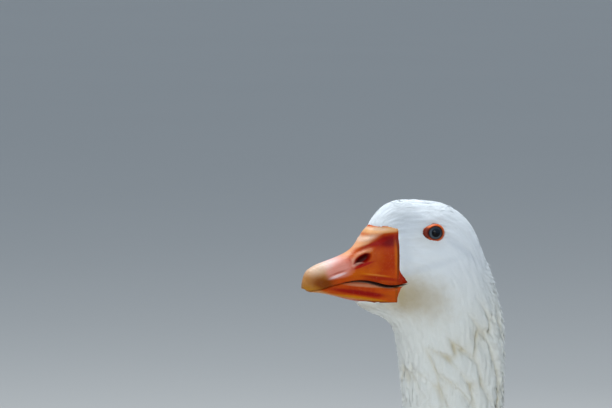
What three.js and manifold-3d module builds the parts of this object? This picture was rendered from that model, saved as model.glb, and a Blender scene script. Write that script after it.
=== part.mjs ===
// A white domestic goose of the Embden type, life size, standing alert with its neck upright.
// Millimetres, +Z up. The goose faces -X and its left side is -Y. It stands on z = 0, and the
// finished group is moved so that its origin is on the floor under the middle of its length.
import * as THREE from "three";
import { mergeVertices } from "three/addons/utils/BufferGeometryUtils.js";
import Module from "manifold-3d";

const wasm = await Module();
wasm.setup();

// Driving sizes.
const gap = 0.35; // free space between two pieces that meet
const crownHeight = 880; // floor to the top of the head
const sidesOfBody = 24; // facets round the neck and trunk
const degree = Math.PI / 180;

const eye = { x: -26, below: 25.2, radius: 7.6, ahead: 12, up: 4, sunk: 5.4, deep: 2.6 };
const lid = { opening: 5.4, width: 2.4, corner: 2.6, proud: 1, deep: 2 };
const wing = { thickness: 14, edge: 5, sunk: 6, swell: 120, taper: 380 };
const tail = { length: 128, rise: 13, x: 462, z: 346, arch: 0.0016 };
const leg = { hip: 58, footX: 190, ankleZ: 12, hockX: 216, hockZ: 112, padZ: 8.4, toeIn: 5 };

const white = new THREE.Color(0.86, 0.87, 0.86);
const orange = new THREE.Color(0.72, 0.24, 0.05);
const materials = {
  feather: new THREE.MeshStandardMaterial({ color: white, roughness: 0.8 }),
  bill: new THREE.MeshStandardMaterial({ color: orange, roughness: 0.42 }),
  nail: new THREE.MeshStandardMaterial({ color: 0xc79a78, roughness: 0.4 }),
  eyelid: new THREE.MeshStandardMaterial({ color: 0xd8661f, roughness: 0.5 }),
  eye: new THREE.MeshStandardMaterial({ color: 0x3c4c5c, roughness: 0.06 }),
  foot: new THREE.MeshStandardMaterial({ color: 0xd9702a, roughness: 0.55 }),
  claw: new THREE.MeshStandardMaterial({ color: 0xb99a80, roughness: 0.45 }),
};

// The outline of head, neck and trunk in the plane of symmetry. Each row is one cross-section,
// from a point on the back line to a point on the front line, and its half width.
const sections = [
  // place, back x, back z, front x, front z, half width
  ["billRoot", -73, 860, -84, 798, 15.6],
  ["forehead", -66, 870.6, -77, 793.5, 17.4],
  ["brow", -54.5, 878.6, -70, 790, 19.6],
  ["crown", -34, crownHeight, -62, 786.5, 23.6],
  ["hindCrown", -12, 876.8, -56, 782.5, 27],
  ["occiput", 7.6, 866.6, -51.5, 777, 29.4],
  ["jaw", 27, 832, -47, 762, 31.2],
  ["throat", 40.6, 792, -44.6, 745, 32.2],
  ["neckUpper", 43.8, 740, -40.8, 717, 32.6],
  ["neckMiddle", 43.5, 675, -39.6, 667, 33],
  ["neckLower", 51, 585, -47.5, 586, 38],
  ["withers", 75, 509, -72, 505, 58],
  ["crop", 117, 458, -105, 402, 94],
  ["breast", 144, 444, -107, 348, 107],
  ["shoulders", 205, 427, -65, 249, 119.5],
  ["keel", 273, 415, 38, 180, 120],
  ["belly", 341, 400, 170, 150, 110.5],
  ["paunch", 401, 385, 294, 164, 86],
  ["rump", 445, 375, 382, 234, 57],
  ["vent", 461, 372, 414, 276, 46],
  ["tailRoot", 476, 370, 440, 318, 38],
  // Past here there is no trunk: only the tips of the folded wings follow these.
  ["tailCover", 510, 376, 490, 340, 32],
  ["wingTip", 552, 390, 542, 362, 26],
];

// A natural cubic spline through the values at the knots.
function spline(knots, values) {
  const n = knots.length;
  const bend = new Array(n).fill(0);
  const rest = new Array(n).fill(0);
  for (let i = 1; i < n - 1; i++) {
    const span = knots[i + 1] - knots[i - 1];
    const share = (knots[i] - knots[i - 1]) / span;
    const pivot = share * bend[i - 1] + 2;
    const after = (values[i + 1] - values[i]) / (knots[i + 1] - knots[i]);
    const before = (values[i] - values[i - 1]) / (knots[i] - knots[i - 1]);
    bend[i] = (share - 1) / pivot;
    rest[i] = ((6 * (after - before)) / span - share * rest[i - 1]) / pivot;
  }
  for (let i = n - 2; i >= 0; i--) bend[i] = bend[i] * bend[i + 1] + rest[i];
  return (t) => {
    let i = 0;
    while (i < n - 2 && t > knots[i + 1]) i++;
    const h = knots[i + 1] - knots[i];
    const a = (knots[i + 1] - t) / h;
    const b = 1 - a;
    const curve = (a ** 3 - a) * bend[i] + (b ** 3 - b) * bend[i + 1];
    return a * values[i] + b * values[i + 1] + (curve * h * h) / 6;
  };
}

// How far along the bird each section is, as the mean of its two edges.
const along = [0];
for (let i = 1; i < sections.length; i++) {
  const [, bx, bz, fx, fz] = sections[i];
  const [, px, pz, qx, qz] = sections[i - 1];
  const step = (Math.hypot(bx - px, bz - pz) + Math.hypot(fx - qx, fz - qz)) / 2;
  along.push(along[i - 1] + step);
}
const column = (k) => spline(along, sections.map((row) => row[k]));
const [backX, backZ, frontX, frontZ, halfWidth] = [1, 2, 3, 4, 5].map(column);
const placeOf = (name) => along[sections.findIndex((row) => row[0] === name)];

// A point on the body: s is the distance along it, turn the angle round it from the back line,
// and out the distance above the surface.
function bodyPoint(s, turn, out = 0) {
  const back = new THREE.Vector3(backX(s), 0, backZ(s));
  const front = new THREE.Vector3(frontX(s), 0, frontZ(s));
  const middle = back.clone().add(front).multiplyScalar(0.5);
  const up = back.clone().sub(front).multiplyScalar(0.5);
  const height = up.length();
  const point = middle.addScaledVector(up, ((height + out) / height) * Math.cos(turn));
  point.y = -(halfWidth(s) + out) * Math.sin(turn);
  return point;
}

function bodyRing(s, out) {
  const turns = Array.from({ length: sidesOfBody }, (_, k) => (2 * Math.PI * k) / sidesOfBody);
  return turns.map((turn) => bodyPoint(s, turn, out));
}

// A length of the body between two distances along it.
function bodyLength(from, to, steps, out = 0) {
  const rings = [];
  for (let i = 0; i <= steps; i++) rings.push(bodyRing(from + ((to - from) * i) / steps, out));
  return loft(rings);
}

// A geometry of triangles, turned so that its faces point out.
function closed(points, index) {
  let volume = 0;
  const cross = new THREE.Vector3();
  for (let i = 0; i < index.length; i += 3) {
    const [a, b, c] = [points[index[i]], points[index[i + 1]], points[index[i + 2]]];
    volume += a.dot(cross.crossVectors(b, c));
  }
  const faces = volume < 0 ? index.slice().reverse() : index;
  return new THREE.BufferGeometry().setFromPoints(points).setIndex(faces);
}

// A closed solid through rings of points, with a flat fan over each end. The two halves of a ring
// mirror each other, and so do the diagonals of their faces.
function loft(rings) {
  const sides = rings[0].length;
  const points = rings.flat();
  const index = [];
  for (let i = 0; i + 1 < rings.length; i++)
    for (let j = 0; j < sides; j++) {
      const a = i * sides + j;
      const b = i * sides + ((j + 1) % sides);
      if (j < sides / 2) index.push(a, b, a + sides, b, b + sides, a + sides);
      else index.push(a, b, b + sides, a, b + sides, a + sides);
    }
  for (const [ring, start, flip] of [[rings[0], 0, 1], [rings.at(-1), sides * (rings.length - 1), 0]]) {
    const centre = ring.reduce((sum, p) => sum.add(p), new THREE.Vector3()).divideScalar(sides);
    points.push(centre);
    for (let j = 0; j < sides; j++) {
      const a = start + j;
      const b = start + ((j + 1) % sides);
      index.push(points.length - 1, ...(flip ? [b, a] : [a, b]));
    }
  }
  return closed(points, index);
}

// A closed ring of material through rings of points, the last of which meets the first.
function hoop(rings) {
  const sides = rings[0].length;
  const index = [];
  rings.forEach((_, i) => {
    const next = ((i + 1) % rings.length) * sides;
    for (let j = 0; j < sides; j++) {
      const k = (j + 1) % sides;
      index.push(i * sides + j, i * sides + k, next + j, i * sides + k, next + k, next + j);
    }
  });
  return closed(rings.flat(), index);
}

// A closed shell between two grids of points with the same rows and columns.
function shell(inner, outer) {
  const rows = inner.length;
  const columns = inner[0].length;
  const points = [...inner.flat(), ...outer.flat()];
  const top = rows * columns;
  const index = [];
  const quad = (a, b, c, d) => index.push(a, b, c, a, c, d);
  for (let i = 0; i + 1 < rows; i++)
    for (let j = 0; j + 1 < columns; j++) {
      const a = i * columns + j;
      quad(a, a + 1, a + columns + 1, a + columns);
      quad(top + a, top + a + columns, top + a + columns + 1, top + a + 1);
    }
  const rim = [];
  for (let j = 0; j + 1 < columns; j++) rim.push(j);
  for (let i = 0; i + 1 < rows; i++) rim.push(i * columns + columns - 1);
  for (let j = columns - 1; j > 0; j--) rim.push((rows - 1) * columns + j);
  for (let i = rows - 1; i > 0; i--) rim.push(i * columns);
  rim.forEach((a, k) => {
    const b = rim[(k + 1) % rim.length];
    quad(b, a, top + a, top + b);
  });
  return closed(points, index);
}

// Between three.js geometries and manifold-3d solids.
function solid(geometry) {
  const bare = geometry.clone();
  bare.deleteAttribute("normal");
  bare.deleteAttribute("uv");
  const merged = mergeVertices(bare, 1e-4);
  return new wasm.Manifold(
    new wasm.Mesh({
      numProp: 3,
      vertProperties: merged.attributes.position.array,
      triVerts: new Uint32Array(merged.index.array),
    }),
  );
}

function shape(manifold) {
  const mesh = manifold.getMesh();
  const geometry = new THREE.BufferGeometry();
  geometry.setAttribute("position", new THREE.BufferAttribute(mesh.vertProperties, 3));
  return geometry.setIndex(new THREE.BufferAttribute(mesh.triVerts, 1));
}

function cut(geometry, ...tools) {
  return shape(tools.reduce((left, tool) => left.subtract(solid(tool)), solid(geometry)));
}

function common(geometry, tool) {
  return shape(solid(geometry).intersect(solid(tool)));
}

function mesh(name, geometry, material) {
  const made = new THREE.Mesh(geometry, material);
  made.name = name;
  return made;
}

// A slab that runs across the bird, with the outline given in x and z.
function slab(outline) {
  const halfAcross = 60;
  const drawn = new THREE.Shape(outline.map(([x, z]) => new THREE.Vector2(x, z)));
  const made = new THREE.ExtrudeGeometry(drawn, { depth: 2 * halfAcross, bevelEnabled: false });
  made.rotateX(Math.PI / 2); // the drawing's height becomes z, and its depth runs along -y
  return made.translate(0, halfAcross, 0);
}

// An oval ring of points across a direction, for tubes such as legs and toes.
function ovalRing(centre, direction, halfAcross, halfDeep, sides = 12, floor = -Infinity) {
  const d = direction.clone().normalize();
  const across = new THREE.Vector3(0, 0, 1).cross(d);
  if (across.length() < 0.2) across.set(0, 1, 0);
  across.normalize();
  const deep = d.clone().cross(across);
  return Array.from({ length: sides }, (_, k) => {
    const turn = (2 * Math.PI * (k + 0.5)) / sides;
    const p = centre.clone().addScaledVector(across, halfAcross * Math.cos(turn));
    p.addScaledVector(deep, halfDeep * Math.sin(turn));
    p.z = Math.max(p.z, floor);
    return p;
  });
}

const at = (x, y, z) => new THREE.Vector3(x, y, z);

// A tube through [x, y, z, half across, half deep] rows, cut off flat at floor.
function limb(rows, { sides = 12, floor = -Infinity, out = 0 } = {}) {
  const centres = rows.map(([x, y, z]) => at(x, y, z));
  return loft(
    rows.map(([, , , across, deep], i) => {
      const before = centres[Math.max(i - 1, 0)];
      const after = centres[Math.min(i + 1, rows.length - 1)];
      const direction = after.clone().sub(before);
      return ovalRing(centres[i], direction, across + out, deep + out, sides, floor);
    }),
  );
}

// The bill. Its outline is in the plane of symmetry, from the root to the tip.
const bill = {
  x: [-44, -53.5, -64, -74, -83, -92, -101, -110, -118, -124, -127.6, -129.8],
  ridge: [860, 861, 861, 859.6, 847.4, 840, 836.4, 833.6, 831, 828, 824, 818],
  edge: [816, 812.4, 813.8, 816.4, 817.9, 817.2, 815.6, 813.4, 811.3, 810.2, 810, 811.2],
  wide: [19, 18, 16.6, 15.2, 14, 13.1, 12.3, 11.5, 10.4, 8.4, 5.9, 2.6],
  keel: [799, 800, 799.6, 799.4, 800, 801.8, 804, 806, 807.4, 808.3, 808.8, 809.4],
};
const nailFrom = -113;
const mouthGap = 1.1;
const mouthSides = 14;

// One half of the bill: the ring goes over the ridge or under the keel and back along the mouth.
function billHalf(lower) {
  const path = bill.x.map((x) => -x);
  const [far, mouth, wide] = [lower ? bill.keel : bill.ridge, bill.edge, bill.wide].map((v) =>
    spline(path, v),
  );
  const rings = [];
  const last = path.at(-1) - (lower ? 5 : 0);
  const steps = 10;
  for (let i = 0; i <= steps; i++) {
    const x = path[0] + (last - path[0]) * Math.sin((Math.PI / 2) * (i / steps)) ** 0.9;
    const lip = mouth(x) - (lower ? mouthGap : 0);
    const rise = far(x) - lip;
    const half = Math.max(wide(x) - (lower ? 1.6 : 0), 1.2); // the upper half overhangs
    const ring = [];
    for (let k = 0; k <= mouthSides; k++) {
      const turn = Math.PI * (k / mouthSides - 0.5);
      const side = Math.sign(turn) * Math.abs(Math.sin(turn)) ** 0.85;
      const height = Math.cos(turn) ** (lower ? 0.45 : 0.78);
      ring.push(at(-x, half * side, lip + rise * height));
    }
    rings.push(ring);
  }
  return loft(rings);
}

// The side view of the line where the bill comes out of the feathers, and all that is before it.
function billRoot(inset) {
  return slab([
    [-140, 900],
    [-82, 866],
    [-74 - inset, 860 - inset],
    [-64 - inset, 860.3 - inset],
    [-53.5 - inset, 858 - inset],
    [-53 - inset, 840],
    [-53.3 - inset, 824 + inset],
    [-47.5 - inset, 817 + inset / 2],
    [-47.5 - inset, 815 - inset / 2],
    [-53.4 - inset, 810],
    [-54 - inset, 799.6 + inset],
    [-74, 799.2 + inset],
    [-86, 800 + inset],
    [-96, 796],
    [-140, 780],
  ]);
}

// Finds the place and turn of the body's surface above or below a point in its middle plane.
function surfaceAt(x, z, low, high) {
  const middle = new THREE.Vector2(x, z);
  const measure = (s) => {
    const front = new THREE.Vector2(frontX(s), frontZ(s));
    const up = new THREE.Vector2(backX(s), backZ(s)).sub(front);
    return { up, from: middle.clone().sub(front) };
  };
  while (high - low > 0.01) {
    const s = (low + high) / 2;
    const { up, from } = measure(s);
    if (up.cross(from) > 0) high = s;
    else low = s;
  }
  const { up, from } = measure(low);
  return [low, Math.acos((2 * from.length()) / up.length() - 1)];
}

// The left eye's place, with its z axis along the line of sight.
function eyeFrame() {
  const frame = new THREE.Group();
  const crown = [placeOf("forehead"), placeOf("jaw")];
  frame.position.copy(bodyPoint(...surfaceAt(eye.x, crownHeight - eye.below, ...crown)));
  const ahead = eye.ahead * degree;
  const up = eye.up * degree;
  const sight = at(-Math.sin(ahead), -Math.cos(ahead), Math.sin(up)).normalize();
  frame.up.set(0, 0, 1);
  frame.lookAt(frame.position.clone().add(sight));
  frame.updateMatrix();
  return frame.matrix;
}

const eyePlace = eyeFrame();

// The part of the eyeball that is in front of a flat back.
function eyeBall() {
  const edge = Math.acos((eye.sunk - eye.deep) / eye.radius);
  const profile = [new THREE.Vector2(0, -eye.deep)];
  for (let i = 5; i >= 0; i--) {
    const turn = (edge * i) / 5;
    const away = i ? eye.radius * Math.sin(turn) : 0;
    profile.push(new THREE.Vector2(away, eye.radius * Math.cos(turn) - eye.sunk));
  }
  return new THREE.LatheGeometry(profile, 12).rotateX(Math.PI / 2).applyMatrix4(eyePlace);
}

// A ring of points round the eye, drawn out to a corner towards the bill.
function lidRing(reach, height, flare = 1) {
  return Array.from({ length: 16 }, (_, k) => {
    const turn = (2 * Math.PI * k) / 16;
    const corner = Math.max(0, -Math.cos(turn)) ** 5 * lid.corner * flare;
    return at(Math.cos(turn) * (reach + corner), Math.sin(turn) * reach * 0.97, height);
  });
}

// The bare lids: a soft ring that rises from the feathers to the edge of the opening.
function eyeLids() {
  const clear = eye.radius + gap;
  const under = Math.sqrt(clear ** 2 - (eye.sunk - lid.deep) ** 2);
  const rings = [
    lidRing(under, -lid.deep, 0.5),
    lidRing(lid.opening, lid.proud, 0.25),
    lidRing(lid.opening + lid.width * 0.6, lid.proud * 0.9),
    lidRing(lid.opening + lid.width, -lid.deep),
  ];
  return hoop(rings).applyMatrix4(eyePlace);
}

// The hole in the head that eye and lids sit in.
function eyeSocket() {
  const reach = lid.opening + lid.width + gap;
  const walls = [lidRing(reach, -eye.deep - gap), lidRing(reach, 12)];
  return loft(walls).applyMatrix4(eyePlace);
}

const mirrored = (geometry) => {
  const made = geometry.clone().scale(1, -1, 1);
  made.setIndex([...made.index.array].reverse());
  return made;
};

const parts = {
  headEnd: placeOf("jaw") + 6,
  neckTopEnd: placeOf("neckUpper") + 21,
  neckMiddleEnd: placeOf("neckMiddle") + 55,
  neckEnd: placeOf("withers") - 8,
  trunkEnd: placeOf("tailRoot"),
};

function makeHead() {
  const skull = bodyLength(0, parts.headEnd, 12);
  const socket = eyeSocket();
  const bare = cut(skull, billRoot(0), socket, mirrored(socket));
  return mesh("head", bare, materials.feather);
}

function makeBill() {
  const root = billRoot(gap);
  const upper = common(billHalf(false), root);
  const lower = common(billHalf(true), root);
  const tip = slab([
    [-140, 790],
    [nailFrom, 790],
    [nailFrom - 2, 822],
    [nailFrom + 1, 850],
    [-140, 850],
  ]);
  const behind = tip.clone().translate(gap, 0, 0);
  return [
    mesh("bill_upper", cut(upper, behind), materials.bill),
    mesh("bill_nail", common(upper, tip), materials.nail),
    mesh("bill_lower", lower, materials.bill),
  ];
}

function makeNeck() {
  const ends = [parts.headEnd, parts.neckTopEnd, parts.neckMiddleEnd, parts.neckEnd];
  return ["upper", "middle", "lower"].map((name, i) =>
    mesh(`neck_${name}`, bodyLength(ends[i] + gap, ends[i + 1], 4), materials.feather),
  );
}

function trunkShape(out = 0) {
  return bodyLength(parts.neckEnd + gap - out, parts.trunkEnd, 15, out);
}

// One folded wing is a set of shells that hug the trunk, each from one distance along the bird to
// another. The wing's two edges are angles from the back line.
const wingAlong = { from: 459, scapulars: 493, elbow: 586, scapularTips: 921, tertials: 952, tip: 1134 };
const wingKnots = [wingAlong.from, 518, 604, 701, 803, 897, 1042, wingAlong.tip];
const wingTop = spline(wingKnots, [52, 16, 8, 6.5, 7, 9, 19, 36]);
const wingBottom = spline(wingKnots, [86, 114, 103, 93, 81, 69, 62, 56]);

function wingPanel([from, to], [upper, lower], [lengths, widths]) {
  const inner = [];
  const outer = [];
  for (let i = 0; i <= lengths; i++) {
    const s = from + ((to - from) * i) / lengths;
    const ahead = Math.min((s - wingAlong.from) / wing.swell + 0.15, 1);
    const behind = Math.min((wingAlong.tip - s) / wing.taper + 0.12, 1);
    const [low, high] = [[], []];
    for (let j = 0; j <= widths; j++) {
      const share = upper + ((lower - upper) * j) / widths;
      const turn = (wingTop(s) * (1 - share) + wingBottom(s) * share) * degree;
      const crest = Math.sqrt(Math.sin(Math.PI * (0.1 + 0.82 * share)));
      const rise = wing.edge + (wing.thickness - wing.edge) * ahead * behind * crest;
      low.push(bodyPoint(s, turn, s > parts.trunkEnd ? gap : -wing.sunk));
      high.push(bodyPoint(s, turn, gap + rise));
    }
    inner.push(low);
    outer.push(high);
  }
  return biggest(cut(shell(inner, outer), trunkShape(gap), tailShape(gap)));
}

const scapularShare = 0.34;
const panels = {
  // from and to along the bird, shares of the way down the wing, steps each way
  scapulars: [[wingAlong.scapulars, wingAlong.scapularTips], [0, scapularShare], [9, 3]],
  shoulder: [[wingAlong.from, wingAlong.elbow], [scapularShare + 0.01, 1], [4, 5]],
  secondaries: [[wingAlong.elbow + gap, wingAlong.tertials], [scapularShare + 0.01, 1], [8, 5]],
  primaries: [[wingAlong.tertials + gap, wingAlong.tip], [0, 1], [7, 3]],
};

function tailShape(out = 0) {
  const span = [0, 0.28, 0.55, 0.76, 0.9, 0.97, 1];
  const across = [34, 42, 51, 57, 56, 48, 34];
  const deep = [18, 13, 8.4, 5.6, 4, 3, 2];
  const under = [1.3, 1.45, 1.5, 1.3, 1.1, 1, 1]; // the coverts below make it deeper there
  const rise = tail.rise * degree;
  const rings = span.map((share, i) => {
    const reach = share * tail.length;
    const centre = at(tail.x + reach * Math.cos(rise), 0, tail.z + reach * Math.sin(rise));
    const ring = [];
    for (let k = 0; k < 16; k++) {
      const turn = (2 * Math.PI * k) / 16;
      const y = (across[i] + out) * Math.sin(turn);
      const sag = tail.arch * y * y * share; // the outer feathers lie lower
      const side = Math.cos(turn) < 0 ? under[i] : 1;
      ring.push(at(centre.x, y, centre.z - sag + (deep[i] * side + out) * Math.cos(turn)));
    }
    return ring;
  });
  return loft(rings);
}

function makeTail() {
  return mesh("tail", cut(tailShape(), trunkShape(gap)), materials.feather);
}

function makeWing(side) {
  return Object.entries(panels).map(([name, [lengths, shares, steps]]) =>
    mesh(`wing_${side}_${name}`, wingPanel(lengths, shares, steps), materials.feather),
  );
}

// The largest of the separate bodies of a geometry.
function biggest(geometry) {
  const bodies = solid(geometry).decompose();
  return shape(bodies.reduce((best, body) => (body.volume() > best.volume() ? body : best)));
}

function shankRows(out = 0) {
  const y = -leg.hip;
  const rows = [];
  const thick = [
    [0, 9.6, 10.4],
    [0.12, 8.4, 10],
    [0.28, 6.2, 7.4],
    [0.6, 5.7, 6.6],
    [0.82, 6.6, 7.2],
    [0.93, 8.4, 8.4],
    [1.03, 8.6, 8.6],
  ];
  for (const [share, across, deep] of thick)
    rows.push([
      leg.hockX + (leg.footX - leg.hockX) * share,
      y,
      leg.hockZ + (leg.ankleZ - leg.hockZ) * share,
      across + out,
      deep + out,
    ]);
  return rows;
}

// The ball of the foot, where the toes start.
function footPad(out = 0) {
  const pad = new THREE.SphereGeometry(10.5 + out, 10, 8);
  pad.scale(1.1, 1.05, 0.98).translate(leg.footX, -leg.hip, leg.padZ);
  const floor = new THREE.BoxGeometry(80, 80, 40).translate(leg.footX, -leg.hip, -20 - out);
  return cut(pad, floor);
}

function makeShank(side) {
  const bone = solid(limb(shankRows(), { sides: 12 })).add(solid(footPad()));
  return mesh(`leg_${side}_shank`, shape(bone), materials.foot);
}

function makeThigh(side) {
  const y = -leg.hip;
  const rows = [
    [leg.hockX - 34, y - 2, 226, 44, 52],
    [leg.hockX - 26, y - 3, 190, 36, 46],
    [leg.hockX - 16, y - 3, 160, 26, 33],
    [leg.hockX - 7, y - 1.5, 137, 17.5, 21],
    [leg.hockX - 1.2, y, 120, 12, 13],
    [leg.hockX + 0.4, y, 112.4 + gap, 10.4, 11],
  ];
  return mesh(
    `leg_${side}_thigh`,
    biggest(cut(limb(rows, { sides: 12 }), trunkShape(gap), limb(shankRows(gap), { sides: 12 }))),
    materials.feather,
  );
}

// Each toe: its bearing from straight ahead (outwards is positive), length and joints.
const toes = {
  inner: { bearing: -30, length: 70, joints: 2 },
  middle: { bearing: -1, length: 90, joints: 3 },
  outer: { bearing: 28, length: 84, joints: 4 },
};

function toeRows({ bearing, length, joints }) {
  const turn = (bearing - leg.toeIn) * degree;
  const rows = [];
  const steps = 6;
  for (let i = 0; i <= steps; i++) {
    const share = i / steps;
    const reach = 4 + (length - 4) * share;
    const knuckle = 0.75 * Math.cos(2 * Math.PI * joints * share) ** 2;
    const thick = 5.9 - 2.9 * share + knuckle * (1 - 0.5 * share);
    const x = leg.footX - reach * Math.cos(turn);
    const y = -leg.hip - reach * Math.sin(turn);
    rows.push([x, y, thick * 0.86, thick, thick]);
  }
  return rows;
}

function toeTip({ bearing, length }) {
  const turn = (bearing - leg.toeIn) * degree;
  const ahead = at(-Math.cos(turn), -Math.sin(turn), 0);
  return { tip: at(leg.footX, -leg.hip, 0).addScaledVector(ahead, length), ahead };
}

function clawShape(tip, ahead, base, length, floor = 0.25) {
  const rows = [];
  for (let i = 0; i <= 4; i++) {
    const share = i / 4;
    const p = tip.clone().addScaledVector(ahead, gap + length * share);
    const thick = base * Math.sqrt(1 - share * 0.93);
    rows.push([p.x, p.y, p.z + base * 1.25 - 2.1 * share * share, thick, thick * 0.9]);
  }
  return limb(rows, { sides: 6, floor });
}

function webShape(first, second) {
  const a = toeTip(first);
  const b = toeTip(second);
  const root = new THREE.Vector2(leg.footX + 2, -leg.hip);
  const start = a.tip.clone().addScaledVector(a.ahead, -4);
  const end = b.tip.clone().addScaledVector(b.ahead, -4);
  const between = start.clone().add(end).multiplyScalar(0.5);
  const pull = between.clone().lerp(at(root.x, root.y, 0), 0.2);
  const outline = new THREE.Shape();
  outline.moveTo(root.x, root.y);
  outline.lineTo(start.x, start.y);
  outline.quadraticCurveTo(pull.x, pull.y, end.x, end.y);
  outline.closePath();
  const sheet = { depth: 1.9, bevelEnabled: false, curveSegments: 6 };
  const made = new THREE.ExtrudeGeometry(outline, sheet).translate(0, 0, 1.2);
  const tools = [first, second].map((toe) => limb(toeRows(toe), { sides: 8, out: gap }));
  return biggest(cut(made, footPad(gap), ...tools));
}

function makeFoot(side) {
  const made = [];
  const outAround = limb(shankRows(gap), { sides: 12 });
  for (const [name, toe] of Object.entries(toes)) {
    const body = limb(toeRows(toe), { sides: 8, floor: 0 });
    const beside = name === "middle" ? [] : [limb(toeRows(toes.middle), { sides: 8, out: gap })];
    const bare = biggest(cut(body, footPad(gap), outAround, ...beside));
    const { tip, ahead } = toeTip(toe);
    made.push(mesh(`leg_${side}_toe_${name}`, bare, materials.foot));
    made.push(mesh(`leg_${side}_claw_${name}`, clawShape(tip, ahead, 2.9, 10), materials.claw));
  }
  const webs = { inner: [toes.inner, toes.middle], outer: [toes.middle, toes.outer] };
  for (const [name, [first, second]] of Object.entries(webs))
    made.push(mesh(`leg_${side}_web_${name}`, webShape(first, second), materials.foot));
  const back = at(leg.footX + 22, -leg.hip + 4, 4.4);
  const hind = limb(
    [
      [leg.footX + 3, -leg.hip + 1, 24, 4.6, 4.6],
      [leg.footX + 11, -leg.hip + 2, 16.5, 4.4, 4.4],
      [leg.footX + 17, -leg.hip + 3, 9.5, 3.9, 3.9],
      [back.x, back.y, back.z + 0.2, 2.9, 2.9],
    ],
    { sides: 8 },
  );
  const bareHind = biggest(cut(hind, outAround, footPad(gap)));
  const down = at(0.72, 0.12, -0.1).normalize();
  const hindClaw = clawShape(back.clone().add(at(0.9, 0, -3)), down, 2.3, 6);
  made.push(mesh(`leg_${side}_toe_hind`, bareHind, materials.foot));
  made.push(mesh(`leg_${side}_claw_hind`, cut(hindClaw, hindGuard(hind)), materials.claw));
  return made;
}

// The hind toe's own end, grown by the gap, so that its claw starts clear of it.
function hindGuard(hind) {
  return hind.clone().translate(gap, 0, -gap / 2);
}

function makeSide(side) {
  const group = new THREE.Group();
  group.add(mesh(`eye_${side}`, eyeBall(), materials.eye));
  group.add(mesh(`eyelids_${side}`, eyeLids(), materials.eyelid));
  group.add(...makeWing(side), makeThigh(side), makeShank(side), ...makeFoot(side));
  if (side === "right") group.scale.y = -1; // the right side mirrors the left
  return group;
}

const goose = new THREE.Group();
goose.add(makeHead(), ...makeBill(), ...makeNeck());
goose.add(mesh("trunk", trunkShape(), materials.feather), makeTail());
goose.add(makeSide("left"), makeSide("right"));

// The origin: on the floor, under the middle of the bird's length.
const box = new THREE.Box3().setFromObject(goose, true);
goose.position.x = -(box.min.x + box.max.x) / 2;

export default goose;
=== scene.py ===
import math

import bmesh
import bpy
import numpy as np
from mathutils import Matrix, Vector


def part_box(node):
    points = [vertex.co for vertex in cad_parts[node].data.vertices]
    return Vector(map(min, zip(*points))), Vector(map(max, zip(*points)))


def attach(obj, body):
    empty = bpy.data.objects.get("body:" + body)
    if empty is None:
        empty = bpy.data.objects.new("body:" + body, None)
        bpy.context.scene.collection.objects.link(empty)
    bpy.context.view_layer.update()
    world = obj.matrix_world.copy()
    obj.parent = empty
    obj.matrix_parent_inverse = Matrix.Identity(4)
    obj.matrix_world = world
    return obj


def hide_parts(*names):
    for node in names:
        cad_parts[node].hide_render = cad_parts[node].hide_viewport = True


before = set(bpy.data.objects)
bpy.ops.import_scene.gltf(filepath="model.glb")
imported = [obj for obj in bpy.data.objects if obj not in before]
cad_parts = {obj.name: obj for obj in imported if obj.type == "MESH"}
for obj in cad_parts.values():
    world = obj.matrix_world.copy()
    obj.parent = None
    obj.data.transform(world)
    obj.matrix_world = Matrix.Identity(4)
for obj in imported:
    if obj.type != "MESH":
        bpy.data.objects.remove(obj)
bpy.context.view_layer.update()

mm = 0.001
billTip = -129.8  # where the tip of the bill is in the measures below
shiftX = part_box("bill_nail")[0].x / mm - billTip
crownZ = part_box("head")[1].z / mm
degree = math.pi / 180
fullTurn = 6.283  # in radians, for the shaders


def splineThrough(knots, values):
    # natural cubic spline, evaluated on whole arrays
    knots = np.asarray(knots, float)
    values = np.asarray(values, float)
    step = np.diff(knots)
    count = len(knots)
    system = np.eye(count)
    right = np.zeros(count)
    slope = np.diff(values) / step
    for i in range(1, count - 1):
        system[i, i - 1:i + 2] = step[i - 1], 2 * (step[i - 1] + step[i]), step[i]
        right[i] = 6 * (slope[i] - slope[i - 1])
    bend = np.linalg.solve(system, right)

    def at(t):
        t = np.asarray(t, float)
        i = np.clip(np.searchsorted(knots, t) - 1, 0, count - 2)
        b = (t - knots[i]) / step[i]
        a = 1 - b
        curve = (a ** 3 - a) * bend[i] + (b ** 3 - b) * bend[i + 1]
        return a * values[i] + b * values[i + 1] + curve * step[i] ** 2 / 6

    return at


def smoothStep(low, high, value):
    t = np.clip((np.asarray(value, float) - low) / (high - low), 0, 1)
    return t * t * (3 - 2 * t)


def lerp(a, b, t):
    return a + (b - a) * t


def unit(vectors):
    return vectors / (np.linalg.norm(vectors, axis=-1, keepdims=True) + 1e-12)


def ripples(seed, alongScale, aroundMost, count=14):
    # a smooth random field over distance along the bird and angle round it, about -1 to 1
    rng = np.random.default_rng(seed)
    alongTurns = rng.normal(0, 1 / alongScale, count)
    aroundTurns = rng.integers(-aroundMost, aroundMost + 1, count)
    start = rng.uniform(0, 2 * math.pi, count)
    size = 1.6 / math.sqrt(count)

    def at(s, turn):
        total = np.zeros(np.broadcast(s, turn).shape)
        for k in range(count):
            total += np.sin(2 * math.pi * alongTurns[k] * s + aroundTurns[k] * turn + start[k])
        return total * size

    return at


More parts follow.
